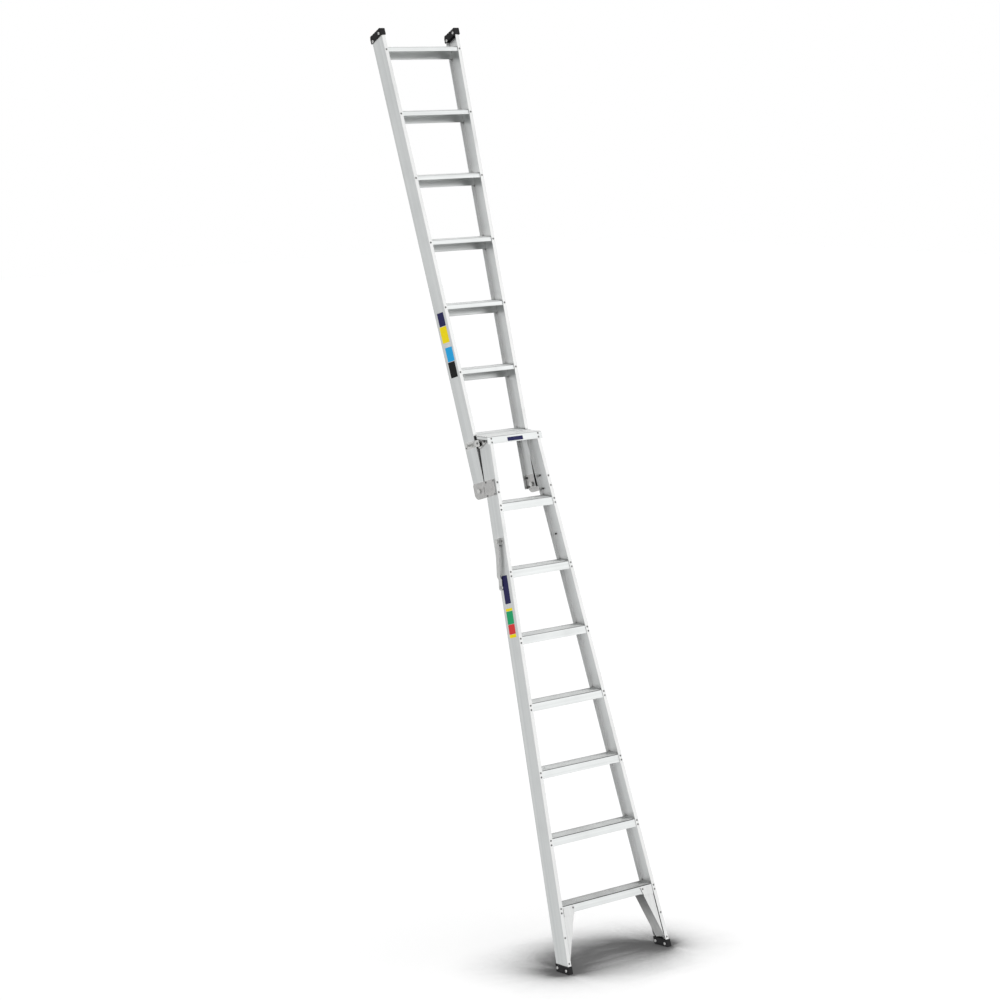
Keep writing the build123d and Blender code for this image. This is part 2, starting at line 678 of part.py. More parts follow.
hung = turned(stay_plane, stay_hang)
strap_edge = Plane(origin=hung.origin, x_dir=hung.y_dir * -1, z_dir=hung.x_dir)
joggle_end = stay_length - 1.6 * stay_width
joggle_start = joggle_end - 1.6 * stay_joggle
strap_end = stay_length + 0.6 * stay_width
with BuildPart() as stay_left:
    with BuildSketch(strap_edge):
        with BuildLine():
            Polyline(
                (-stay_width / 2, strap_inner),
                (joggle_start, strap_inner),
                (joggle_end, strap_inner - stay_joggle),
                (strap_end, strap_inner - stay_joggle),
                (strap_end, strap_outer - stay_joggle),
                (joggle_end + stay_thick / 3, strap_outer - stay_joggle),
                (joggle_start + stay_thick / 3, strap_outer),
                (-stay_width / 2, strap_outer),
                close=True,
            )
        make_face()
    extrude(amount=stay_width / 2, both=True)
    with BuildSketch(hung):
        with Locations((0, stay_width / 2)):
            RectangleRounded(
                stay_width, strap_end + stay_width / 2, 0.49 * stay_width, align=(Align.CENTER, Align.MAX)
            )
        Circle(stay_pin_radius + run_gap, mode=Mode.SUBTRACT)
        with Locations((0, -stay_length)):
            Circle(hook_stud_radius + 2 * clear_gap, mode=Mode.SUBTRACT)
            Rectangle(
                stay_width,
                2 * hook_stud_radius + 4 * clear_gap,
                align=(Align.MAX, Align.CENTER),
                mode=Mode.SUBTRACT,
            )
    extrude(amount=-2 * strap_outer, mode=Mode.INTERSECT)

# Lock band on the outside of the rear rail, with a square lug that reaches forward past the front
# rail's back edge, the hook stud for the stay and the lock stud for the catch
band_middle = lock_reach * rear_stretch
with BuildPart() as lock_band_left:
    with BuildSketch(rear_web):
        with Locations((0, band_middle)):
            chamfer(Rectangle(band_length, band_height).vertices(), band_height / 8)
            Circle(hook_stud_radius + fit_gap, mode=Mode.SUBTRACT)
        with Locations((-lock_setback, band_middle)):
            Rectangle(lock_setback - band_length / 3, 0.6 * band_height, align=(Align.MIN, Align.CENTER))
            Rectangle(lug_width, band_height)
            Circle(lock_stud_radius + fit_gap, mode=Mode.SUBTRACT)
    extrude(amount=-band_thick)

band_outer = rear_half_at(lock_along) + band_thick
catch_inner = front_half(catch_along) + catch_standoff
with BuildPart() as lock_studs:
    with BuildSketch(cross_plane(-band_outer - stud_head / 2, lock_depth, lock_along)):
        Circle(lock_stud_radius)
    extrude(amount=band_outer + stud_head / 2 - catch_inner + catch_standoff / 2)
    mirror(about=Plane.YZ)
keep(lock_studs, "lock_studs")
stud_tip = band_outer + hook_stud_length
with BuildPart() as hook_studs:
    with BuildSketch(cross_plane(-stud_tip, pivot_depth, lock_along)):
        Circle(hook_stud_radius)
    extrude(amount=stud_tip - rear_half_at(lock_along) - fit_gap)
    with BuildSketch(cross_plane(-stud_tip - stud_head, pivot_depth, lock_along)):
        Circle(1.6 * hook_stud_radius)
    extrude(amount=stud_head)
    mirror(about=Plane.YZ)
keep(hook_studs, "hook_studs")

# Catch on the front rail's outer face: a hooked plate on a pin, hanging clear of the lock stud and
# swung up round it to lock the two sections in line
catch_outer = catch_inner + catch_thick
catch_plane = turned(cross_plane(-catch_outer, catch_depth, catch_along), -catch_open)
stud_level = lock_along - catch_along
hook_top = stud_level + hook_rise
hook_low = stud_level - catch_cradle - catch_wall
hook_back = catch_arm + catch_cradle + catch_wall
hook_front = catch_arm - catch_cradle - catch_wall
with BuildPart() as lock_catch_left:
    with BuildSketch(catch_plane):
        with BuildLine():
            Polyline(
                (0, catch_eye),
                (-0.7 * catch_eye, 0.7 * catch_eye),
                (-catch_eye, 0),
                (-0.7 * catch_eye, -0.7 * catch_eye),
                (0, -catch_eye),
                (hook_front + catch_wall, hook_low),
                (hook_back - catch_wall, hook_low),
                (hook_back, hook_low + catch_wall),
                (hook_back, hook_top),
                (hook_front, hook_top),
                close=True,
            )
        make_face()
        Circle(catch_pin_radius + run_gap, mode=Mode.SUBTRACT)
        with Locations((catch_arm, stud_level)):
            Circle(catch_cradle, mode=Mode.SUBTRACT)
            Rectangle(
                2 * catch_cradle, 2 * catch_cradle, align=(Align.CENTER, Align.MIN), mode=Mode.SUBTRACT
            )
    extrude(amount=catch_thick)
pin_outer = catch_outer + clear_gap
pin_inner = front_half(catch_along) - 2 * web_thick
with BuildPart() as catch_pins:
    with BuildSketch(cross_plane(-pin_outer, catch_depth, catch_along)):
        Circle(catch_pin_radius)
    extrude(amount=pin_outer - pin_inner)
    with BuildSketch(cross_plane(-pin_outer - bracket_thick, catch_depth, catch_along)):
        Circle(1.6 * catch_pin_radius)
    extrude(amount=bracket_thick)
    mirror(about=Plane.YZ)
keep(catch_pins, "catch_pins")

# The right side mirrors the left
sides = {
    "front_rail": front_rail_left,
    "front_foot": front_foot_left,
    "knee_brace": knee_brace_left,
    "platform_buffer": platform_buffer_left,
    "rear_rail": rear_rail_left,
    "rear_foot": rear_foot_left,
    "hinge_plate": hinge_plate_left,
    "pivot_doubler": pivot_doubler_left,
    "stay_bracket": stay_bracket_left,
    "stay": stay_left,
    "lock_band": lock_band_left,
    "lock_catch": lock_catch_left,
}
for name, left in sides.items():
    keep(left, f"{name}_left")
    with BuildPart() as right:
        mirror(left.part, about=Plane.YZ)
    keep(right, f"{name}_right")
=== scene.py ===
import json
import logging
from dataclasses import dataclass, field, replace
from enum import Enum
from math import cos, hypot, pi, radians, sin

import bmesh
import bpy
from mathutils import Matrix, Vector


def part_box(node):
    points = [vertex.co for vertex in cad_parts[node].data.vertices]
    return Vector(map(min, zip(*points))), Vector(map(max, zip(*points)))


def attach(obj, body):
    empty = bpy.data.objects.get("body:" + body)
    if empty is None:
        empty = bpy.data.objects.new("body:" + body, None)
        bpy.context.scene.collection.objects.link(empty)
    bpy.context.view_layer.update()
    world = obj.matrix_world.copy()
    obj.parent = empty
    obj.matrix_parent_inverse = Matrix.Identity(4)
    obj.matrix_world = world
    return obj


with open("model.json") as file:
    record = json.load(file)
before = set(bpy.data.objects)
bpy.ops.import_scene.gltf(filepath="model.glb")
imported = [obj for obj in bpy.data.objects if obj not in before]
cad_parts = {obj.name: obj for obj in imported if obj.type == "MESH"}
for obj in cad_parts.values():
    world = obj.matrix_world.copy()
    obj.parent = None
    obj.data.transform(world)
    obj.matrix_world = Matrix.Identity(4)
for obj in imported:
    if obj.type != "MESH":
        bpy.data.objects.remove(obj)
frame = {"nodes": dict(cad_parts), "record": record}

LOG = logging.getLogger("ladder")

Colour = tuple[float, float, float]
Point = tuple[float, float, float]
Pair = tuple[float, float]
Socket = bpy.types.NodeSocket
Value = Socket | float | tuple[float, ...]

ACROSS = Vector((1, 0, 0))
UP = Vector((0, 0, 1))
WHITE = (1.0, 1.0, 1.0, 1.0)
WELD = 1e-6  # points nearer than this are merged
EDGE_SAMPLES = 4
NOISE: Pair = (0.3, 0.7)  # most values of a noise lie in this range

# How far a normal points along another or along an axis where a soft step starts and ends
EDGE_TURN: Pair = (0.995, 0.85)
FORWARD_TURN: Pair = (-0.9, -0.5)
LEVEL_TURN: Pair = (0.9, 0.99)
NOSE_START: Pair = (0.3, 0.45)
NOSE_END: Pair = (0.8, 0.95)
DOWN_TURN: Pair = (-0.2, -0.35)


class Side(Enum):
    """The two sides of the ladder."""

    LEFT = -1
    RIGHT = 1

    @property
    def word(self) -> str:
        """The side's name as the CAD nodes end with it."""
        return self.name.lower()


class Body(Enum):
    """CAD bodies that carry dressed pieces."""

    FRONT = "front_section"
    REAR = "rear_section"


class RivetKind(Enum):
    """Forms of rivet ends."""

    BLIND = "blind"
    TAIL = "tail"
    WIDE = "wide"


class Film(Enum):
    """Colours of the plain film patches."""

    NAVY = (0.018, 0.018, 0.085)
    YELLOW = (0.95, 0.76, 0.006)
    SKY = (0.02, 0.40, 0.80)
    BLACK = (0.004, 0.004, 0.004)
    GREEN = (0.015, 0.38, 0.15)
    RED = (0.72, 0.045, 0.045)


@dataclass(frozen=True)
class Face:
    """A flat face of the ladder with its own directions.

    Attributes:
        origin: The face's zero point.
        back: Unit direction from front to back along the face.
        rise: Unit direction up along the face.
        out: Unit normal, out of the metal.
    """

    origin: Vector
    back: Vector
    rise: Vector
    out: Vector

    def at(self, back: float, rise: float, proud: float = 0.0) -> Vector:
        """A point of the shared frame, given along the face and above it."""
        return self.origin + self.back * back + self.rise * rise + self.out * proud


@dataclass(frozen=True)
class LadderSizes:
    """Sizes of the ladder's solids that its dress follows, in metres.

    The leaning frame runs across, back from the front rails' fronts, and up along the rails.
    """

    lean: float = radians(16.0)
    rail_depth: float = 0.075
    rail_gap: float = 0.0075  # between the front and the rear rails
    web: float = 0.002
    flange_line: float = 0.010  # line of the rivets, in from a rail's outer face
    front_width: float = 0.632  # at the floor
    front_taper: float = 0.0685  # how fast half the width shrinks along the front rails
    rear_taper: float = 0.034  # how fast it grows along the rear rails
    hinge_room: float = 0.0069  # the rear rails stand inside the front ones at the pivot
    step_pitch: float = 0.300
    step_count: int = 7  # of each section
    first_step: float = 0.296
    platform_lift: float = 0.003  # above the next step's place
    platform_front: float = -0.0024
    pivot_drop: float = 0.224  # below the platform's nose
    rear_tread_lift: float = 0.027  # the first rear tread above the platform's nose
    foot_wall: float = 0.004
    foot_front_wall: float = 0.0025
    foot_wide: float = 0.027
    plate_thick: float = 0.004
    doubler_inner: float = 0.0051  # in from the rear rail's outer face
    brace_front: float = 0.0003

    @property
    def platform_nose(self) -> float:
        """Height of the platform's nose along the rails."""
        return self.first_step + self.step_count * self.step_pitch + self.platform_lift

    @property
    def pivot_along(self) -> float:
        """Height of the fold pivot along the rails."""
        return self.platform_nose - self.pivot_drop

    @property
    def rear_front(self) -> float:
        """Depth of the rear rails' fronts."""
        return self.rail_depth + self.rail_gap

    @property
    def middle(self) -> float:
        """How far the leaning frame's zero lies in front of the shared frame's."""
        toe = self.foot_front_wall / cos(self.lean)
        return -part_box("front_foot_left")[0].y - toe

    def front_half(self, along: float) -> float:
        """Half the width over the front rails at a height along them."""
        return self.front_width / 2 - self.front_taper * along

    def rear_half(self, along: float) -> float:
        """Half the width over the rear rails at a height along them."""
        start = self.front_half(self.pivot_along) - self.hinge_room
        return start + self.rear_taper * (along - self.pivot_along)

    def way(self, across: float, depth: float, along: float) -> Vector:
        """A direction given in the leaning frame, as a unit vector."""
        s, c = sin(self.lean), cos(self.lean)
        return Vector((across, along * s + depth * c, along * c - depth * s)).normalized()

    def spot(self, across: float, depth: float, along: float) -> Vector:
        """A point given in the leaning frame."""
        s, c = sin(self.lean), cos(self.lean)
        return Vector((across, along * s + depth * c - self.middle, along * c - depth * s))

    def front_web(self, side: Side, proud: float = 0.0) -> Face:
        """The outer face of a front rail.

        Args:
            side: The rail's side.
            proud: How far the face is moved out of the rail.

        Returns:
            The face, whose back is the depth and whose rise runs from the floor.
        """
        out = self.way(side.value, 0, self.front_taper)
        rise = self.way(-side.value * self.front_taper, 0, 1)
        origin = self.spot(side.value * self.front_width / 2, 0, 0) + out * proud
        return Face(origin, self.way(0, 1, 0), rise, out)

    def rear_web(self, side: Side, proud: float = 0.0) -> Face:
        """The outer face of a rear rail.

        Args:
            side: The rail's side.
            proud: How far the face is moved out of the rail.

        Returns:
            The face, whose back is the depth and whose rise runs from the fold pivot.
        """
        out = self.way(side.value, 0, -self.rear_taper)
        rise = self.way(side.value * self.rear_taper, 0, 1)
        origin = self.spot(side.value * self.rear_half(self.pivot_along), 0, self.pivot_along)
        return Face(origin + out * proud, self.way(0, 1, 0), rise, out)

    def cross_face(self, depth: float, out: int) -> Face:
        """A face across the ladder at a depth; back is +X and rise runs from the floor."""
        return Face(self.spot(0, depth, 0), ACROSS, self.way(0, 0, 1), self.way(0, out, 0))


class Wiring:
    """A node tree with short calls for its nodes."""

    def __init__(self, tree: bpy.types.NodeTree) -> None:
        """Empties the tree that is to be wired."""
        self.tree = tree
        tree.nodes.clear()

    def node(self, kind: str, **links: Value) -> bpy.types.Node:
        """Adds a node.

        Args:
            kind: The node's type, without the prefix that all of them share.
            **links: Values or sockets for its inputs, named with underscores for spaces.

        Returns:
            The new node.
        """
        made = self.tree.nodes.new(f"ShaderNode{kind}")
        for name, value in links.items():
            self.feed(made.inputs[name.replace("_", " ")], value)
        return made

    def feed(self, socket: Socket, value: Value) -> None:
        """Sets a socket to a value or links it to another socket.

        Args:
            socket: The input to feed.
            value: A plain value, or the output to link it to.
        """
        if isinstance(value, Socket):
            self.tree.links.new(value, socket)
        else:
            socket.default_value = value

    def combine(self, operation: str, first: Value, second: Value, kind: str = "Math") -> Socket:
        """Works out one value from two.

        Args:
            operation: The node's operation.
            first: Its first value.
            second: Its second value.
            kind: The node's type.

        Returns:
            The result.
        """
        made = self.node(kind)
        made.operation = operation
        self.feed(made.inputs[0], first)
        self.feed(made.inputs[1], second)
        return made.outputs["Value"]

    def times(self, first: Value, second: Value) -> Socket:
        """The product of two values."""
        return self.combine("MULTIPLY", first, second)

    def plus(self, first: Value, second: Value) -> Socket:
        """The sum of two values."""
        return self.combine("ADD", first, second)

    def minus(self, first: Value, second: Value) -> Socket:
        """The first value less the second."""
        return self.combine("SUBTRACT", first, second)

    def larger(self, first: Value, second: Value) -> Socket:
        """The larger of two values."""
        return self.combine("MAXIMUM", first, second)

    def dot(self, first: Value, second: Value) -> Socket:
        """The dot product of two vectors."""
        return self.combine("DOT_PRODUCT", first, second, "VectorMath")

    def spread(self, value: Value, low: float, high: float, to_low: float, to_high: float) -> Socket:
        """Stretches a value from one range to another and holds it inside.

        Args:
            value: The value.
            low: Start of its range.
            high: End of its range.
            to_low: What the start becomes.
            to_high: What the end becomes.

        Returns:
            The stretched value.
        """
        made = self.node("MapRange", Value=value)
        limits = {"From Min": low, "From Max": high, "To Min": to_low, "To Max": to_high}
        for name, number in limits.items():
            made.inputs[name].default_value = number
        return made.outputs["Result"]

    def seen(self) -> Socket:
        """Tells the rays that show the background from those that light the object.

        Returns:
            1 for the first and 0 for the others.
        """
        path = self.node("LightPath").outputs
        pair = self.larger(path["Is Camera Ray"], path["Is Glossy Ray"])
        return self.larger(pair, path["Is Transmission Ray"])


class Shade(Wiring):
    """A material's node tree."""

    def __init__(self, name: str) -> None:
        """Starts a material.

        Args:
            name: The material's name.
        """
        self.material = bpy.data.materials.new(name)
        self.material.use_nodes = True
        super().__init__(self.material.node_tree)
        self.output = self.node("OutputMaterial")
        self.place = self.node("TexCoord").outputs["Object"]

    def local(self, turn: Matrix, size: Point) -> Socket:
        """Object coordinates in a frame of their own.

        Args:
            turn: The frame's turn.
            size: Lengths of its units in metres.

        Returns:
            The coordinates.
        """
        mapping = self.node("Mapping", Vector=self.place)
        mapping.vector_type = "TEXTURE"
        mapping.inputs["Rotation"].default_value = turn.to_euler()
        mapping.inputs["Scale"].default_value = size
        return mapping.outputs["Vector"]

    def noise(self, scale: float, detail: float, where: Socket | None = None) -> Socket:
        """A noise value from 0 to 1, on object coordinates unless others are given."""
        made = self.node("TexNoise", Vector=where or self.place, Scale=scale, Detail=detail)
        return made.outputs["Fac"]

    def mix(self, share: Value, first: Value, second: Value) -> Socket:
        """Mixes two colours.

        Args:
            share: The second colour's share.
            first: The first colour.
            second: The second colour.

        Returns:
            The mixed colour.
        """
        made = self.node("Mix")
        made.data_type = "RGBA"
        colours = [c + (1.0,) if isinstance(c, tuple) else c for c in (first, second)]
        self.feed(made.inputs[0], share)
        self.feed(made.inputs[6], colours[0])
        self.feed(made.inputs[7], colours[1])
        return made.outputs[2]

    def rounded(self, radius: float) -> Socket:
        """Rounds the edges off in the shading.

        Args:
            radius: The edges' radius.

        Returns:
            The rounded normals.
        """
        made = self.node("Bevel", Radius=radius)
        made.samples = EDGE_SAMPLES
        return made.outputs["Normal"]

    def edge(self, normal: Socket) -> Socket:
        """How near a point is to an edge, from the rounded normals."""
        true = self.node("NewGeometry").outputs["Normal"]
        return self.spread(self.dot(normal, true), *EDGE_TURN, 0.0, 1.0)

    def openness(self, reach: float, samples: int = 4) -> Socket:
        """Tells how open a point is to its surroundings.

        Args:
            reach: How far round the point counts.
            samples: Smoothness of the result.

        Returns:
            A value from 0 in a narrow gap to 1.
        """
        made = self.node("AmbientOcclusion", Distance=reach)
        made.samples = samples
        return made.outputs["AO"]

    def facing(self, axis: str) -> Socket:
        """How far a face looks along an axis on the piece as it was made, from -1 to 1."""
        normal = self.node("TexCoord").outputs["Normal"]
        return self.node("SeparateXYZ", Vector=normal).outputs[axis]

    def bump(self, height: Socket, distance: float, strength: float, normal: Socket) -> Socket:
        """Normals moved by a height pattern."""
        made = self.node("Bump", Height=height, Distance=distance, Strength=strength, Normal=normal)
        return made.outputs["Normal"]

    def finish(
        self, colour: Socket, roughness: Socket, normal: Socket, metallic: float, shine: float = 0.5
    ) -> bpy.types.Material:
        """Ends the material in one Principled shader.

        Args:
            colour: The base colour.
            roughness: The roughness.
            normal: The surface normals.
            metallic: 1 for metal and 0 for others.
            shine: The specular level, which metal doesn't use.

        Returns:
            The finished material.
        """
        surface = self.node("BsdfPrincipled", Base_Color=colour, Roughness=roughness, Normal=normal)
        surface.inputs["Metallic"].default_value = metallic
        surface.inputs["Specular IOR Level"].default_value = shine
        self.feed(self.output.inputs["Surface"], surface.outputs["BSDF"])
        return self.material


@dataclass(frozen=True)
class ExtrudedMetal:
    """Mill-finish extrusion with fine lines along its length and soft handling marks, and painted light and
    shade in corners, gaps and on tread edges.
    """

    dark: Colour = (0.505, 0.52, 0.52)
    light: Colour = (0.625, 0.64, 0.637)
    worn: Colour = (0.74, 0.74, 0.735)  # rubbed edges, and the lighter tone of faces that look forward
    soil: Colour = (0.22, 0.222, 0.22)  # tops that are walked on; the tone also stands in as painted shade of darker reflections
    corner_light_tone: Colour = (0.90, 0.90, 0.895)  # painted light in corners, lighter than the metal
    # tone of the painted shadow in gaps, in lines at tread edges and on undersides
    painted_shadow: Colour = (0.02, 0.02, 0.02)
    rough: float = 0.42
    rough_swing: float = 0.04
    line: float = 0.0011  # width of a drawn line
    run: float = 0.35  # length of a drawn line
    line_share: float = 0.45  # of the tone; the bands have the rest
    band: Pair = (0.012, 1.4)  # width and length
    mark_scale: float = 7.0
    mark_band: Pair = (0.55, 0.8)  # values of their noise where the marks start and are full
    mark_share: float = 0.25
    haze_band: Pair = (0.4, 0.75)  # and where they start and end to roughen the metal
    mark_rough: float = 0.09
    grain_scale: float = 1400.0
    relief: float = 0.00006
    relief_strength: float = 0.5
    line_relief: float = 0.8  # the lines' share of the relief
    edge_round: float = 0.0009
    edge_wear: float = 0.6
    front_lift: float = 0.0  # share of the lighter tone on faces that look forward
    trodden: float = 0.0  # how far tops go to that tone, as walked dirt and as painted reflection
    least_scuff_and_reflection: float = 0.5  # share of that where the marks are faintest

    corner_light_reach: float = 0.04
    corner_light_open: float = 0.95  # openness at which a corner starts to take painted light
    corner_light_full: float = 0.45
    corner_light_share: float = 0.5
    corner_light_front: float = 1.0  # what is left of it on faces that look forward

    gap_reach: float = 0.020
    gap_samples: int = 10
    gap_open: float = 0.46  # openness at which a gap starts to darken
    gap_full: float = 0.4  # share of that at which it is darkest
    gap_share: float = 0.94
    back: Point = (0.0, 1.0, 0.0)  # direction that close_depth is measured along
    close_depth: float = -9.0  # in front of this, gaps darken sooner with painted shadow
    close_fade: float = 0.004
    close_open: Pair = (0.85, 0.5)

    nose_line: float = 0.0  # strength of the painted shade line on a rounded nose
    painted_rear_shade: float = 0.0  # strength of the painted shade line along a top's rear edge
    rear_edge: float = 0.0  # where that edge lies along Y
    rear_width: float = 0.023
    rear_fade: float = 0.005
    under: float = 0.0  # painted shade on undersides at the height under_to
    under_low: float = 0.0  # and at the height under_from
    under_from: float = 0.0
    under_to: float = 1.0

    def build(self, name: str, along: Vector) -> bpy.types.Material:
        """Makes the material.

        Args:
            name: The material's name.
            along: The direction the metal was drawn in.

        Returns:
            The material.
        """
        shade = Shade(name)
        turn = UP.rotation_difference(along).to_matrix()
        width, length = self.band
        lines = shade.noise(1.0, 4.0, shade.local(turn, (self.line, self.line, self.run)))
        bands = shade.noise(1.0, 2.0, shade.local(turn, (width, width, length)))
        marks = shade.noise(self.mark_scale, 5.0)
        grain = shade.noise(self.grain_scale, 2.0)
        normal = shade.rounded(self.edge_round)
        front = shade.spread(shade.facing("Y"), *FORWARD_TURN, 1.0, 0.0)

        tone = shade.plus(shade.times(lines, self.line_share), shade.times(bands, 1.0 - self.line_share))
        drawn = shade.mix(shade.spread(tone, *NOISE, 0.0, 1.0), self.dark, self.light)
        front_lifted = shade.mix(shade.times(front, self.front_lift), drawn, self.worn)
        handled = shade.mix(shade.spread(marks, *self.mark_band, 0.0, self.mark_share), front_lifted, self.dark)
        lined = self.tread_wear_and_shade(shade, handled, marks)
        # painted light: faces in corners and near walls are lightened
        corner_lit = shade.mix(self.painted_corner_light(shade, front), lined, self.corner_light_tone)
        rubbed = shade.mix(shade.times(shade.edge(normal), self.edge_wear), corner_lit, self.worn)
        colour = shade.mix(self.painted_gap_shadow(shade), rubbed, self.painted_shadow)

        rough = shade.plus(
            shade.spread(lines, *NOISE, self.rough - self.rough_swing, self.rough + self.rough_swing),
            shade.spread(marks, *self.haze_band, 0.0, self.mark_rough),
        )
        relief = shade.plus(
            shade.times(lines, self.line_relief), shade.times(grain, 1.0 - self.line_relief)
        )
        bumped = shade.bump(relief, self.relief, self.relief_strength, normal)
        return shade.finish(colour, rough, bumped, 1.0)

    def tread_wear_and_shade(self, shade: Shade, colour: Socket, marks: Socket) -> Socket:
        """Adds the walked tops, whose tone is partly walked dirt and partly painted reflection, and painted
        shade in dark lines at their edges and on undersides.

        Args:
            shade: The material's tree.
            colour: The metal's colour so far.
            marks: The handling marks.

        Returns:
            The colour with them.
        """
        top = shade.facing("Z")
        level = shade.spread(top, *LEVEL_TURN, 0.0, 1.0)
        scuffs_and_reflection = shade.times(shade.spread(marks, *NOISE, self.least_scuff_and_reflection, 1.0), self.trodden)
        walked_and_reflected = shade.mix(shade.times(level, scuffs_and_reflection), colour, self.soil)
        start, end = shade.spread(top, *NOSE_START, 0.0, 1.0), shade.spread(top, *NOSE_END, 1.0, 0.0)
        nose = shade.times(shade.times(start, end), self.nose_line)
        reach = shade.dot(shade.place, (0.0, 1.0, 0.0))
        inner = self.rear_edge - self.rear_width
        rear = shade.times(level, shade.spread(reach, inner, inner + self.rear_fade, 0.0, self.painted_rear_shade))
        height = shade.dot(shade.place, (0.0, 0.0, 1.0))
        shaded = shade.spread(height, self.under_from, self.under_to, self.under_low, self.under)
        below = shade.times(shade.spread(top, *DOWN_TURN, 0.0, 1.0), shaded)
        return shade.mix(shade.larger(below, shade.larger(nose, rear)), walked_and_reflected, self.painted_shadow)

    def painted_corner_light(self, shade: Shade, front: Socket) -> Socket:
        """Tells how much painted light a point gets in corners, from the walls round it.

        Args:
            shade: The material's tree.
            front: 1 on faces that look forward and 0 on others.

        Returns:
            The share of the painted corner light's tone.
        """
        openness = shade.openness(self.corner_light_reach)
        corner = shade.spread(openness, self.corner_light_open, self.corner_light_full, 0.0, self.corner_light_share)
        return shade.times(corner, shade.spread(front, 0.0, 1.0, 1.0, self.corner_light_front))

    def painted_gap_shadow(self, shade: Shade) -> Socket:
        """Tells how much painted shadow darkens a point inside a narrow gap.

        Args:
            shade: The material's tree.

        Returns:
            The share of the shadow's tone.
        """
        gap = shade.openness(self.gap_reach, self.gap_samples)
        narrow = shade.spread(gap, self.gap_open, self.gap_full * self.gap_open, 0.0, self.gap_share)
        depth = shade.dot(shade.place, self.back)
        fore = shade.spread(depth, self.close_depth, self.close_depth + self.close_fade, 1.0, 0.0)
        close = shade.times(shade.spread(gap, *self.close_open, 0.0, self.gap_share), fore)
        return shade.larger(narrow, close)


@dataclass(frozen=True)
class PlatedSteel:
    """Zinc-plated sheet or turned steel with a faint spangle."""

    dark: Colour = (0.35, 0.348, 0.345)
    light: Colour = (0.50, 0.497, 0.49)
    rough: float = 0.38
    spangle: float = 0.004  # size of the plating's crystals
    spangle_share: float = 0.35  # of the tone; the clouding has the rest
    tone_band: Pair = (0.2, 0.75)  # tones where the plating is darkest and lightest
    rough_band: Pair = (0.2, 0.8)  # and where it is smoothest and roughest
    rough_swing: Pair = (-0.08, 0.1)
    cloud_scale: float = 60.0
    grain_scale: float = 1500.0
    relief: float = 0.00004
    relief_strength: float = 0.4
    edge_round: float = 0.0006
    edge_wear: float = 0.5
    edge_gain: float = 1.3  # how much lighter the edges are

    def build(self, name: str) -> bpy.types.Material:
        """Makes the material.

        Args:
            name: The material's name.

        Returns:
            The material.
        """
        shade = Shade(name)
        cells = shade.node("TexVoronoi", Vector=shade.place, Scale=1.0 / self.spangle)
        crystal = shade.node("SeparateColor", Color=cells.outputs["Color"]).outputs[0]
        cloud = shade.noise(self.cloud_scale, 4.0)
        grain = shade.noise(self.grain_scale, 2.0)
        normal = shade.rounded(self.edge_round)
        tone = shade.plus(
            shade.times(crystal, self.spangle_share), shade.times(cloud, 1.0 - self.spangle_share)
        )
        plated = shade.mix(shade.spread(tone, *self.tone_band, 0.0, 1.0), self.dark, self.light)
        bright = tuple(min(1.0, self.edge_gain * part) for part in self.light)
        colour = shade.mix(shade.times(shade.edge(normal), self.edge_wear), plated, bright)
        low, high = (self.rough + swing for swing in self.rough_swing)
        rough = shade.spread(tone, *self.rough_band, low, high)
        bumped = shade.bump(grain, self.relief, self.relief_strength, normal)
        return shade.finish(colour, rough, bumped, 1.0)


@dataclass(frozen=True)
class MouldedRubber:
    """Black moulded rubber with a fine grain, dust on its tops and scuffed edges."""

    base: Colour = (0.006, 0.006, 0.007)
    dust: Colour = (0.035, 0.034, 0.033)
    dust_level: Pair = (0.2, 1.0)  # how far up a face looks where dust starts and is full
    dust_share: Pair = (0.1, 0.8)
    dust_band: Pair = (0.35, 0.7)  # values of the cloud where dust is thin and thick
    dust_swing: Pair = (0.1, 1.0)
    scuff_band: Pair = (0.4, 0.6)  # and where edges are faintly and fully scuffed
    scuff_share: Pair = (0.1, 0.6)
    rough: float = 0.62
    dust_rough: float = 0.2
    shine: float = 0.3
    cloud_scale: float = 45.0
    grain_scale: float = 1500.0
    relief: float = 0.0002
    relief_strength: float = 0.5
    edge_round: float = 0.0012

    def build(self, name: str) -> bpy.types.Material:
        """Makes the material.

        Args:
            name: The material's name.

        Returns:
            The material.
        """
        shade = Shade(name)
        cells = shade.node("TexVoronoi", Vector=shade.place, Scale=self.grain_scale)
        cloud = shade.noise(self.cloud_scale, 5.0)
        normal = shade.rounded(self.edge_round)
        true = shade.node("NewGeometry").outputs["Normal"]
        top = shade.node("SeparateXYZ", Vector=true).outputs["Z"]
        lying = shade.spread(top, *self.dust_level, *self.dust_share)
        dusty = shade.times(lying, shade.spread(cloud, *self.dust_band, *self.dust_swing))
        scuffed = shade.times(shade.edge(normal), shade.spread(cloud, *self.scuff_band, *self.scuff_share))
        colour = shade.mix(shade.larger(dusty, scuffed), self.base, self.dust)
        rough = shade.spread(cloud, *NOISE, self.rough, self.rough + self.dust_rough)
        bumped = shade.bump(cells.outputs["Distance"], self.relief, self.relief_strength, normal)
        return shade.finish(colour, rough, bumped, 0.0, self.shine)


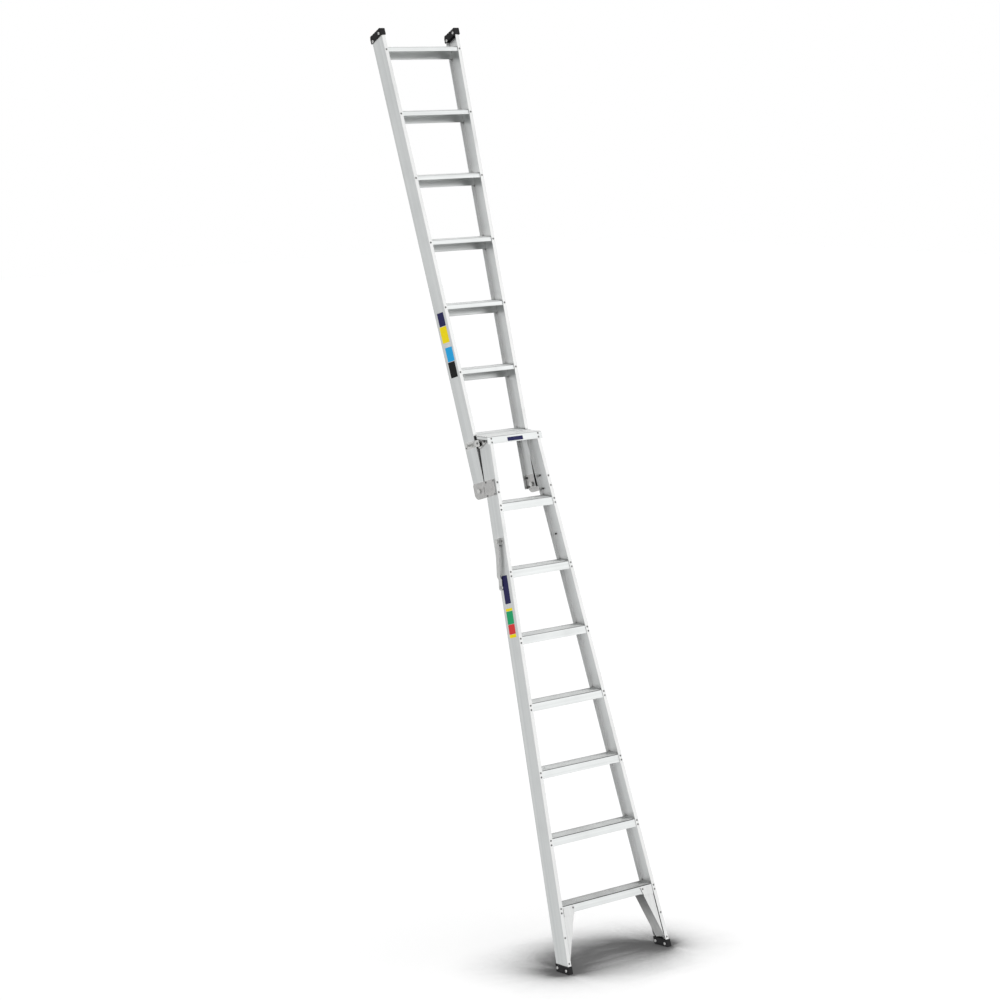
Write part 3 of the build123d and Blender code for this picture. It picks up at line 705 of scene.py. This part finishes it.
@dataclass(frozen=True)
class Vinyl:
    """Plain stick-on film with rubbed edges."""

    base: Colour
    bare: Colour = (0.6, 0.6, 0.58)  # rubbed edges
    wear_band: Pair = (0.35, 0.65)  # values of the cloud where edges are faintly and fully rubbed
    wear_share: Pair = (0.1, 0.8)
    fade: Pair = (0.88, 0.03)  # what is left of a faded colour, and the white that comes in
    fade_band: Pair = (0.45, 0.8)  # values of the cloud where the fading starts and is full
    fade_share: float = 0.3
    rough: float = 0.46
    rough_swing: Pair = (-0.06, 0.12)
    shine: float = 0.12
    cloud_scale: float = 55.0
    wrinkle_scale: float = 260.0
    relief: float = 0.00008
    relief_strength: float = 0.3
    edge_round: float = 0.0005

    def build(self, name: str) -> bpy.types.Material:
        """Makes the material.

        Args:
            name: The material's name.

        Returns:
            The material.
        """
        shade = Shade(name)
        cloud = shade.noise(self.cloud_scale, 4.0)
        wrinkle = shade.noise(self.wrinkle_scale, 2.0)
        left, white = self.fade
        faded = tuple(left * part + white for part in self.base)
        normal = shade.rounded(self.edge_round)
        worn = shade.times(shade.edge(normal), shade.spread(cloud, *self.wear_band, *self.wear_share))
        plain = shade.mix(shade.spread(cloud, *self.fade_band, 0.0, self.fade_share), self.base, faded)
        colour = shade.mix(worn, plain, self.bare)
        low, high = (self.rough + swing for swing in self.rough_swing)
        rough = shade.spread(cloud, *NOISE, low, high)
        bumped = shade.bump(wrinkle, self.relief, self.relief_strength, normal)
        return shade.finish(colour, rough, bumped, 0.0, self.shine)


def add_piece(name: str, shape: bmesh.types.BMesh, *materials: bpy.types.Material) -> bpy.types.Object:
    """Turns a shape into an object of the scene.

    Args:
        name: The object's name.
        shape: Its shape, which is freed.
        *materials: Its materials.

    Returns:
        The object.
    """
    mesh = bpy.data.meshes.new(name)
    shape.to_mesh(mesh)
    shape.free()
    for material in materials:
        mesh.materials.append(material)
    piece = bpy.data.objects.new(name, mesh)
    bpy.context.scene.collection.objects.link(piece)
    return piece


# Outlines of the rivet ends from rim to middle, in shares of the radius and the height
RIVET_OUTLINES: dict[RivetKind, tuple[Pair, ...]] = {
    RivetKind.BLIND: (
        (1.0, -0.1), (1.0, 0.28), (0.92, 0.55), (0.72, 0.86),
        (0.5, 1.0), (0.44, 0.92), (0.4, 0.3), (0.0, 0.25),
    ),
    RivetKind.TAIL: ((0.78, -0.1), (0.82, 0.9), (0.7, 1.5), (0.4, 1.8), (0.0, 1.85)),
    RivetKind.WIDE: (
        (1.0, -0.1), (1.0, 0.35), (0.9, 0.62), (0.62, 0.9),
        (0.36, 1.0), (0.3, 0.85), (0.28, 0.55), (0.0, 0.5),
    ),
}


@dataclass
class RivetSet:
    """A set of equal rivets on one body, gathered into one mesh."""

    name: str
    body: Body
    kind: RivetKind
    radius: float = 0.0048
    height: float = 0.0017
    turns: int = 18  # faces round each of them
    hollow: float = 0.46  # share of the radius inside which a head shows its broken stem, darkened with painted shade in its hollow
    places: list[tuple[Vector, Vector]] = field(default_factory=list)  # points and normals

    def put(self, point: Vector, out: Vector) -> None:
        """Adds a rivet at a point of a face with the given normal."""
        self.places.append((point, out))

    def form(self) -> bpy.types.Mesh:
        """Spins one rivet's outline.

        Returns:
            The rivet's end, standing on the XY plane.
        """
        shape = bmesh.new()
        points = [
            shape.verts.new((reach * self.radius, 0.0, rise * self.height))
            for reach, rise in RIVET_OUTLINES[self.kind]
        ]
        lines = [shape.edges.new(pair) for pair in zip(points[:-1], points[1:])]
        bmesh.ops.spin(
            shape,
            geom=points + lines,
            cent=(0, 0, 0),
            axis=UP,
            angle=2 * pi,
            steps=self.turns,
            use_merge=True,
            use_duplicate=False,
        )
        bmesh.ops.remove_doubles(shape, verts=shape.verts[:], dist=WELD)
        bmesh.ops.recalc_face_normals(shape, faces=shape.faces[:])
        stem = 0.0 if self.kind is RivetKind.TAIL else self.hollow * self.radius
        for face in shape.faces:
            face.smooth = True
            reach = max(hypot(vert.co.x, vert.co.y) for vert in face.verts)
            face.material_index = int(reach < stem)
        mesh = bpy.data.meshes.new(self.name + "_head")
        shape.to_mesh(mesh)
        shape.free()
        return mesh

    def build(self, metal: bpy.types.Material, stem: bpy.types.Material) -> None:
        """Builds the set and sets it on its body.

        Args:
            metal: The heads' material.
            stem: The material of the broken stems in the heads.
        """
        head = self.form()
        shape = bmesh.new()
        for point, out in self.places:
            before = len(shape.verts)
            shape.from_mesh(head)
            shape.verts.ensure_lookup_table()
            turn = UP.rotation_difference(out).to_matrix().to_4x4()
            bmesh.ops.transform(shape, matrix=Matrix.Translation(point) @ turn, verts=shape.verts[before:])
        bpy.data.meshes.remove(head)
        piece = add_piece(self.name, shape, metal, stem)
        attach(piece, self.body.value)


@dataclass
class BlankPatch:
    """A plain film patch with rounded corners on a flat face."""

    name: str
    body: Body
    face: Face
    low: Pair  # lower corner on the face
    high: Pair  # upper corner on the face
    corner: float = 0.003
    corner_steps: int = 5  # lines round each corner
    thick: float = 0.0003
    bed: float = 0.00005  # how far the film reaches into the face

    def outline(self) -> list[Pair]:
        """Rounds the patch's corners.

        Returns:
            The outline's points on the face.
        """
        left, right = self.low[0] + self.corner, self.high[0] - self.corner
        bottom, top = self.low[1] + self.corner, self.high[1] - self.corner
        middles = ((right, top, 0.0), (left, top, pi / 2), (left, bottom, pi), (right, bottom, 1.5 * pi))
        points = []
        for across, rise, start in middles:
            for index in range(self.corner_steps + 1):
                turn = start + index / self.corner_steps * pi / 2
                points.append((across + self.corner * cos(turn), rise + self.corner * sin(turn)))
        return points

    def build(self, film: bpy.types.Material) -> None:
        """Builds the patch and sets it on its body.

        Args:
            film: The patch's material.
        """
        shape = bmesh.new()
        ring = [shape.verts.new(self.face.at(a, b, -self.bed)) for a, b in self.outline()]
        base = shape.faces.new(ring)
        base.normal_update()
        if base.normal.dot(self.face.out) < 0:
            base.normal_flip()
        raised = bmesh.ops.extrude_face_region(shape, geom=[base])["geom"]
        tops = [item for item in raised if isinstance(item, bmesh.types.BMVert)]
        bmesh.ops.translate(shape, vec=self.face.out * (self.thick + self.bed), verts=tops)
        rims = [item for item in raised if isinstance(item, bmesh.types.BMEdge)]
        bmesh.ops.bevel(
            shape,
            geom=rims,
            offset=self.thick / 2,
            segments=2,
            profile=0.5,
            affect="EDGES",
            material=-1,
        )
        bmesh.ops.recalc_face_normals(shape, faces=shape.faces[:])
        piece = add_piece(self.name, shape, film)
        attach(piece, self.body.value)


@dataclass(frozen=True)
class Finishes:
    """Lays the finishes on the CAD nodes and hands out those of the rivets."""

    sizes: LadderSizes
    rail: ExtrudedMetal = ExtrudedMetal(front_lift=0.6)
    close_reach: float = 0.001  # how far past the rear rails' fronts their gaps take painted shadow sooner
    tread: ExtrudedMetal = ExtrudedMetal(
        dark=(0.54, 0.555, 0.552), light=(0.66, 0.675, 0.672), rough=0.34, run=0.18, gap_open=0.27
    )
    nose_fade: float = 0.1  # how much weaker the nose's painted shade line is on each step up
    # painted reflection that lightens the platform's top
    cap_soil: Colour = (0.93, 0.93, 0.925)
    # strength of the painted shade line on the platform's nose
    cap_nose: float = 0.3
    # strength of the painted shade line along the tops' rear edges
    painted_rear_shade: float = 0.42
    brace: ExtrudedMetal = ExtrudedMetal(
        dark=(0.54, 0.545, 0.545),
        light=(0.66, 0.665, 0.66),
        line=0.0006,
        run=0.05,
        rough=0.38,
        corner_light_share=0.2,
        corner_light_front=0.0,
        # painted shade on the brace's undersides, stronger higher up
        under=0.90,
        under_low=0.40,
        under_from=0.10,
        under_to=0.25,
    )
    rubber: MouldedRubber = MouldedRubber()
    plate: PlatedSteel = PlatedSteel()
    zinc: PlatedSteel = PlatedSteel((0.46, 0.465, 0.46), (0.60, 0.60, 0.585), 0.30, 0.003)
    strap: PlatedSteel = PlatedSteel((0.43, 0.435, 0.43), (0.55, 0.555, 0.55), 0.40, 0.003)
    stud: PlatedSteel = PlatedSteel((0.13, 0.13, 0.13), (0.22, 0.22, 0.215), 0.36)
    knob: PlatedSteel = PlatedSteel((0.05, 0.05, 0.05), (0.10, 0.10, 0.10), 0.42)
    # near black: the broken stems, with painted shade in the rivets' hollows
    stem: PlatedSteel = PlatedSteel((0.02, 0.02, 0.02), (0.05, 0.05, 0.05), 0.5, 0.002)
    heads: tuple[tuple[RivetKind, PlatedSteel], ...] = (
        # the blind heads and the tails are darkened with painted shade
        (RivetKind.BLIND, PlatedSteel((0.20, 0.20, 0.198), (0.30, 0.30, 0.297), 0.36, 0.002)),
        (RivetKind.WIDE, PlatedSteel((0.50, 0.50, 0.495), (0.64, 0.64, 0.63), 0.32, 0.002)),
        (RivetKind.TAIL, PlatedSteel((0.06, 0.06, 0.06), (0.12, 0.12, 0.118), 0.45, 0.002)),
    )

    def lined(self, node: str, **wear_and_shade: float | Colour) -> ExtrudedMetal:
        """The treads' metal with a painted shade line along a node's rear edge, and with wear and painted
        shade of its own.
        """
        return replace(self.tread, painted_rear_shade=self.painted_rear_shade, rear_edge=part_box(node)[1].y, **wear_and_shade)

    def steps(self) -> dict[str, bpy.types.Material]:
        """Makes the front steps darker on top and with a stronger painted nose shade line the lower they
        are; the darker tops are partly walked dirt and partly painted shade of reflections.

        Returns:
            The material of each step's node.
        """
        made = {}
        for index in range(self.sizes.step_count):
            name = f"front_step_{index + 1}"
            worn = self.lined(name, trodden=1.0 / (1 + index), nose_line=1.0 - self.nose_fade * index)
            made[name] = worn.build(f"step_metal_{index + 1}", ACROSS)
        return made

    def platform(self) -> bpy.types.Material:
        """Makes the platform's material, whose top is lightened with painted reflection."""
        cap = self.lined("platform", soil=self.cap_soil, trodden=1.0, nose_line=self.cap_nose)
        return cap.build("platform_metal", ACROSS)

    def rails(self) -> dict[str, bpy.types.Material]:
        """Makes the rails, of which the rear ones take painted shadow where they close on the front ones.

        Returns:
            The material of each rail's node.
        """
        size, made = self.sizes, {}
        back = size.way(0, 1, 0)
        fore = size.spot(0, size.rear_front + self.close_reach, 0).dot(back)
        behind = replace(self.rail, back=tuple(back), close_depth=fore)
        for side in Side:
            word = side.word
            made[f"front_rail_{word}"] = self.rail.build(f"front_{word}_metal", size.front_web(side).rise)
            made[f"rear_rail_{word}"] = behind.build(f"rear_{word}_metal", size.rear_web(side).rise)
        return made

    def lay(self) -> None:
        """Gives every CAD node its material, by its own name or else by its slot."""
        strap = self.strap.build("strap_zinc")
        straps = {f"{piece}_{side.word}": strap for piece in ("stay", "stay_bracket") for side in Side}
        own = {**self.rails(), **self.steps(), **straps, "lock_studs": self.stud.build("stud_steel")}
        by_slot = {
            "tread": self.tread.build("tread_metal", ACROSS),
            "platform": self.platform(),
            "brace": self.brace.build("brace_metal", self.sizes.way(0, 0, 1)),
            "foot": self.rubber.build("foot_rubber"),
            "plate": self.plate.build("plate_steel"),
            "zinc": self.zinc.build("bright_zinc"),
            "knob": self.knob.build("black_zinc"),
        }
        slots = {part["node"]: part["material_slot"] for part in frame["record"]["subparts"]}
        for name, node in frame["nodes"].items():
            material = own.get(name) or by_slot[slots[name]]
            node.data.materials.clear()
            node.data.materials.append(material)
            LOG.info("%s: %s", name, material.name)

    def rivets(self) -> dict[RivetKind, tuple[bpy.types.Material, bpy.types.Material]]:
        """The ends' and the stems' materials for each form of rivet end."""
        hole = self.stem.build("rivet_stem_shade")
        return {kind: (steel.build(f"rivet_{kind.value}"), hole) for kind, steel in self.heads}


@dataclass(frozen=True)
class TreadRivets:
    """Rivets of the front steps, the platform and the rear treads, as drops below their noses."""

    sizes: LadderSizes
    step_drops: Pair = (0.0086, 0.028)
    back_lift: float = 0.020  # those at a step's back are higher
    cap_drops: Pair = (0.0086, 0.026)
    tread_front: float = 0.010
    tread_back: Pair = (-0.008, 0.028)

    def steps(self) -> RivetSet:
        """Places two rivets at each end of every front step, front and back.

        Returns:
            The set.
        """
        size = self.sizes
        made = RivetSet("front_step_rivets", Body.FRONT, RivetKind.BLIND)
        front, back = size.cross_face(0.0, -1), size.cross_face(size.rail_depth, 1)
        for index in range(size.step_count):
            nose = size.first_step + index * size.step_pitch
            for side in Side:
                for drop in self.step_drops:
                    across = side.value * (size.front_half(nose - drop) - size.flange_line)
                    made.put(front.at(across, nose - drop), front.out)
                    made.put(back.at(across, nose - drop + self.back_lift), back.out)
        return made

    def cap(self) -> RivetSet:
        """Places two rivets at each end of the platform's front.

        Returns:
            The set.
        """
        size = self.sizes
        made = RivetSet("platform_rivets", Body.FRONT, RivetKind.BLIND)
        nose, skin = size.platform_nose, size.cross_face(size.platform_front, -1)
        for side in Side:
            across = side.value * (size.front_half(nose) - size.flange_line)
            for drop in self.cap_drops:
                made.put(skin.at(across, nose - drop), skin.out)
        return made

    def treads(self) -> RivetSet:
        """Places one rivet at the front and two at the back of each rear tread's ends.

        Returns:
            The set.
        """
        size = self.sizes
        made = RivetSet("rear_tread_rivets", Body.REAR, RivetKind.BLIND)
        front = size.cross_face(size.rear_front, -1)
        back = size.cross_face(size.rear_front + size.rail_depth, 1)
        spots = [(front, self.tread_front)] + [(back, drop) for drop in self.tread_back]
        for index in range(size.step_count):
            nose = size.platform_nose + size.rear_tread_lift + index * size.step_pitch
            for side in Side:
                for face, drop in spots:
                    across = side.value * (size.rear_half(nose - drop) - size.flange_line)
                    made.put(face.at(across, nose - drop), face.out)
        return made

    def sets(self) -> list[RivetSet]:
        """Every set of these rivets."""
        return [self.steps(), self.cap(), self.treads()]


@dataclass(frozen=True)
class HingeRivets:
    """Rivets of the hinge plates, stay brackets and lock bands, with their tails in the rails.

    Spots are depths and heights along the rails.
    """

    sizes: LadderSizes
    head_radius: float = 0.0052
    tail_radius: float = 0.0056
    tail_height: float = 0.0036
    plate_spots: tuple[Pair, ...] = ((0.011, 2.143), (0.063, 2.143), (0.011, 2.204), (0.063, 2.204))
    flange_heights: Pair = (2.148, 2.193)
    bracket_thick: float = 0.0025
    bracket_depths: Pair = (0.014, 0.056)
    bracket_along: float = 1.930
    doubler_spots: tuple[Pair, ...] = ((0.0935, 2.204), (0.1455, 2.208), (0.0935, 2.166), (0.1435, 2.166))
    band_radius: float = 0.0044
    band_thick: float = 0.0025
    band_spots: tuple[Pair, ...] = ((0.1305, 0.2135), (0.145, 0.2025))  # heights from the fold pivot

    def sets(self) -> list[RivetSet]:
        """Places the rivets on both sides.

        Returns:
            The heads, their tails, the doublers' tails and the lock bands' heads.
        """
        size = self.sizes
        tail = {"radius": self.tail_radius, "height": self.tail_height}
        heads = RivetSet("hinge_rivets", Body.FRONT, RivetKind.BLIND, radius=self.head_radius)
        tails = RivetSet("hinge_rivet_tails", Body.FRONT, RivetKind.TAIL, **tail)
        inner = RivetSet("doubler_rivets", Body.REAR, RivetKind.TAIL, **tail)
        bands = RivetSet("lock_band_rivets", Body.REAR, RivetKind.BLIND, radius=self.band_radius)
        stretch = hypot(1, size.front_taper)
        front = size.cross_face(0.0, -1)
        for side in Side:
            plate, web = size.front_web(side, size.plate_thick), size.front_web(side)
            for depth, along in self.plate_spots:
                heads.put(plate.at(depth, along * stretch), plate.out)
                tails.put(web.at(depth, along * stretch, -size.web), -web.out)
            for along in self.flange_heights:
                across = side.value * (size.front_half(along) - size.flange_line)
                heads.put(front.at(across, along), front.out)
            bracket = size.front_web(side, self.bracket_thick)
            for depth in self.bracket_depths:
                heads.put(bracket.at(depth, self.bracket_along * stretch), bracket.out)
                tails.put(web.at(depth, self.bracket_along * stretch, -size.web), -web.out)
            doubler = size.rear_web(side, -size.doubler_inner)
            for depth, along in self.doubler_spots:
                inner.put(doubler.at(depth, along - size.pivot_along), -doubler.out)
            band = size.rear_web(side, self.band_thick)
            for depth, rise in self.band_spots:
                bands.put(band.at(depth, rise), band.out)
        return [heads, tails, inner, bands]


@dataclass(frozen=True)
class FootRivets:
    """Wide rivets through the sides of the feet, and those of the knee braces.

    Spots are depths and heights along the rails, and for the braces distances from the middle.
    """

    sizes: LadderSizes
    radius: float = 0.0062
    height: float = 0.002
    front_spots: tuple[Pair, ...] = ((0.0665, 0.037), (0.012, 0.0185))
    rear_spots: tuple[Pair, ...] = ((0.0965, 4.295), (0.1475, 4.273))
    flange_spots: tuple[Pair, ...] = ((0.2963, 0.160), (0.3028, 0.0465))
    panel_spot: Pair = (0.2155, 0.2805)

    def sets(self) -> list[RivetSet]:
        """Places the rivets on both sides.

        Returns:
            The front feet's, the rear feet's and the knee braces' rivets.
        """
        size = self.sizes
        wide = {"radius": self.radius, "height": self.height}
        front = RivetSet("front_foot_rivets", Body.FRONT, RivetKind.WIDE, **wide)
        rear = RivetSet("rear_foot_rivets", Body.REAR, RivetKind.WIDE, **wide)
        brace = RivetSet("knee_brace_rivets", Body.FRONT, RivetKind.BLIND)
        flange, panel = size.cross_face(0.0, -1), size.cross_face(size.brace_front, -1)
        inside = size.foot_wall - size.foot_wide
        for side in Side:
            outer, inner = size.front_web(side, size.foot_wall), size.front_web(side, inside)
            for depth, along in self.front_spots:
                front.put(outer.at(depth, along), outer.out)
                front.put(inner.at(depth, along), -inner.out)
            outer, inner = size.rear_web(side, size.foot_wall), size.rear_web(side, inside)
            for depth, along in self.rear_spots:
                rear.put(outer.at(depth, along - size.pivot_along), outer.out)
                rear.put(inner.at(depth, along - size.pivot_along), -inner.out)
            for across, along in self.flange_spots:
                brace.put(flange.at(side.value * across, along), flange.out)
            across, along = self.panel_spot
            brace.put(panel.at(side.value * across, along), panel.out)
        return [front, rear, brace]


@dataclass(frozen=True)
class PatchSpot:
    """Where a patch lies on a rail's web, by depths and heights along the rail, and its colour."""

    low: Pair
    high: Pair
    film: Film
    corner: float = 0.003


@dataclass(frozen=True)
class LadderPatches:
    """Plain film patches on the platform's front and the left rails."""

    sizes: LadderSizes
    cap_half: float = 0.047
    cap_drops: Pair = (0.0285, 0.0105)  # edges below the platform's nose
    front_spots: tuple[PatchSpot, ...] = (
        PatchSpot((0.018, 1.655), (0.056, 1.782), Film.NAVY),
        PatchSpot((0.016, 1.622), (0.059, 1.634), Film.YELLOW, 0.002),
        PatchSpot((0.016, 1.563), (0.059, 1.621), Film.GREEN),
        PatchSpot((0.016, 1.518), (0.059, 1.562), Film.RED),
        PatchSpot((0.016, 1.502), (0.059, 1.517), Film.YELLOW, 0.002),
    )
    rear_spots: tuple[PatchSpot, ...] = (
        PatchSpot((0.097, 2.937), (0.140, 2.999), Film.NAVY),
        PatchSpot((0.097, 2.861), (0.144, 2.935), Film.YELLOW),
        PatchSpot((0.091, 2.774), (0.138, 2.839), Film.SKY),
        PatchSpot((0.094, 2.700), (0.141, 2.772), Film.BLACK),
    )

    def patches(self) -> list[tuple[BlankPatch, Film]]:
        """Places the patches.

        Returns:
            Each patch with its colour.
        """
        size = self.sizes
        low, high = (size.platform_nose - drop for drop in self.cap_drops)
        skin = size.cross_face(size.platform_front, -1)
        cap = BlankPatch("platform_patch", Body.FRONT, skin, (-self.cap_half, low), (self.cap_half, high))
        made = [(cap, Film.NAVY)]
        rails = (
            ("rail_patch", Body.FRONT, size.front_web(Side.LEFT), 0.0, self.front_spots),
            ("rear_patch", Body.REAR, size.rear_web(Side.LEFT), size.pivot_along, self.rear_spots),
        )
        for word, body, web, start, spots in rails:
            for index, spot in enumerate(spots, 1):
                (near, bottom), (far, top) = spot.low, spot.high
                corners = (near, bottom - start), (far, top - start)
                made.append((BlankPatch(f"{word}_{index}", body, web, *corners, spot.corner), spot.film))
        return made


@dataclass(frozen=True)
class LadderDress:
    """Rivets and blank patches of both sections."""

    sizes: LadderSizes
    finishes: Finishes

    def build(self) -> None:
        """Builds every dressed piece."""
        metals = self.finishes.rivets()
        for work in (TreadRivets(self.sizes), HingeRivets(self.sizes), FootRivets(self.sizes)):
            for rivets in work.sets():
                rivets.build(*metals[rivets.kind])
                LOG.info("%s: %d rivets", rivets.name, len(rivets.places))
        for patch, film in LadderPatches(self.sizes).patches():
            patch.build(Vinyl(film.value).build(patch.name + "_film"))
            LOG.info("%s: %s film", patch.name, film.name.lower())


@dataclass(frozen=True)
class Studio:
    """A white floor, soft lamps and the photograph's camera."""

    azimuth: float = 41.967  # heading in degrees, 0 along +Y and growing towards +X
    elevation: float = -8.078
    roll: float = -0.797
    place: Point = (-9.231945, -10.169765, 3.955717)
    focal: float = 3070.377  # in pixels
    image_wide: float = 1000.0  # in pixels
    sensor: float = 36.0  # in millimetres
    view_end: float = 200.0

    ambient: float = 0.78  # strength of the even sky
    ceiling: float = 0.8  # brightness of the background overhead
    ceiling_band: Pair = (0.56, 0.74)

    floor_half: float = 40.0
    floor_cells: int = 8  # along each side
    floor_light: Colour = (0.85, 0.85, 0.85)
    # tone of the painted shadow
    floor_dark: Colour = (0.03, 0.03, 0.03)
    floor_glow: float = 0.2
    painted_shadow_reach: float = 0.5
    painted_shadow_samples: int = 32
    painted_shadow_open: Pair = (0.985, 0.86)  # the floor's openness where the painted shadow starts and is full
    painted_shadow_share: float = 0.88

    key_place: Point = (8.7, -8.8, 6.0)
    key_target: Point = (0.0, 0.0, 2.0)
    key_size: float = 9.0
    key_power: float = 160.0  # in watts
    sun_above: Point = (0.1, -0.3, 1.0)  # direction from the object to the light
    sun_strength: float = 0.6
    sun_spread: float = 60.0  # angular size in degrees

    def camera(self) -> None:
        """Sets the camera where the photograph was taken from."""
        turn, pitch, roll = radians(self.azimuth), radians(self.elevation), radians(self.roll)
        ahead = Vector((sin(turn) * cos(pitch), cos(turn) * cos(pitch), sin(pitch)))
        level = Vector((cos(turn), -sin(turn), 0.0))
        upright = level.cross(ahead)
        right = level * cos(roll) + upright * sin(roll)
        top = upright * cos(roll) - level * sin(roll)
        lens = bpy.data.cameras.new("photo_camera")
        lens.sensor_fit = "HORIZONTAL"
        lens.sensor_width = self.sensor
        lens.lens = self.focal / self.image_wide * self.sensor
        lens.clip_end = self.view_end
        camera = bpy.data.objects.new("photo_camera", lens)
        aim = Matrix((right, top, -ahead)).transposed().to_4x4()
        camera.matrix_world = Matrix.Translation(self.place) @ aim
        bpy.context.scene.collection.objects.link(camera)
        bpy.context.scene.camera = camera

    def floor_white(self) -> bpy.types.Material:
        """Makes a white that shows the camera a painted shadow round the feet, darker where the floor is
        closed in.

        Returns:
            The floor's material.
        """
        shade = Shade("floor_white")
        # painted shadow: for camera rays the floor darkens where the ladder closes it in
        openness = shade.openness(self.painted_shadow_reach, self.painted_shadow_samples)
        painted_shadow = shade.spread(openness, *self.painted_shadow_open, 0.0, self.painted_shadow_share)
        view = shade.node("LightPath").outputs["Is Camera Ray"]
        clear = shade.minus(1.0, shade.times(view, painted_shadow))
        plain = shade.node("BsdfDiffuse", Color=shade.mix(clear, self.floor_dark, self.floor_light))
        shown = shade.times(shade.seen(), clear)
        glow = shade.node("Emission", Color=WHITE, Strength=shade.times(shown, self.floor_glow))
        both = shade.node("AddShader")
        shade.feed(both.inputs[0], plain.outputs[0])
        shade.feed(both.inputs[1], glow.outputs[0])
        shade.feed(shade.output.inputs["Surface"], both.outputs[0])
        return shade.material

    def floor(self) -> None:
        """Lays a white floor with a painted shadow under the ladder."""
        shape = bmesh.new()
        cells = {"x_segments": self.floor_cells, "y_segments": self.floor_cells}
        bmesh.ops.create_grid(shape, size=self.floor_half, **cells)
        floor = add_piece("floor", shape, self.floor_white())

    def world(self) -> None:
        """Sets a white background, a little darker overhead, and a soft even sky."""
        world = bpy.data.worlds.new("studio")
        bpy.context.scene.world = world
        world.use_nodes = True
        wiring = Wiring(world.node_tree)
        heading = wiring.node("TexCoord").outputs["Generated"]
        height = wiring.node("SeparateXYZ", Vector=heading).outputs["Z"]
        shown = wiring.spread(height, *self.ceiling_band, 1.0, self.ceiling)
        level = wiring.node("MapRange", Value=wiring.seen(), To_Min=self.ambient, To_Max=shown)
        sky = wiring.node("Background", Color=WHITE, Strength=level.outputs["Result"])
        output = wiring.node("OutputWorld")
        wiring.feed(output.inputs["Surface"], sky.outputs["Background"])

    def key_lamp(self) -> None:
        """Hangs a square soft lamp in front, to the right."""
        data = bpy.data.lights.new("key_lamp", "AREA")
        data.shape = "SQUARE"
        data.size = self.key_size
        data.energy = self.key_power
        lamp = bpy.data.objects.new("key_lamp", data)
        aim = (Vector(self.key_target) - Vector(self.key_place)).to_track_quat("-Z", "Y")
        lamp.matrix_world = Matrix.Translation(self.key_place) @ aim.to_matrix().to_4x4()
        bpy.context.scene.collection.objects.link(lamp)

    def top_sun(self) -> None:
        """Adds a broad even light from above."""
        data = bpy.data.lights.new("top_sun", "SUN")
        data.energy = self.sun_strength
        data.angle = radians(self.sun_spread)
        light = bpy.data.objects.new("top_sun", data)
        light.matrix_world = (-Vector(self.sun_above)).to_track_quat("-Z", "Y").to_matrix().to_4x4()
        bpy.context.scene.collection.objects.link(light)

    def build(self) -> None:
        """Sets up the whole studio."""
        self.camera()
        self.floor()
        self.world()
        self.key_lamp()
        self.top_sun()
        bpy.context.scene.view_settings.view_transform = "Standard"


def main() -> None:
    """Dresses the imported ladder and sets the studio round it."""
    logging.basicConfig(level=logging.INFO)
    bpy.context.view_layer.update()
    sizes = LadderSizes()
    finishes = Finishes(sizes)
    finishes.lay()
    LadderDress(sizes, finishes).build()
    Studio().build()


if __name__ == "__main__":
    main()
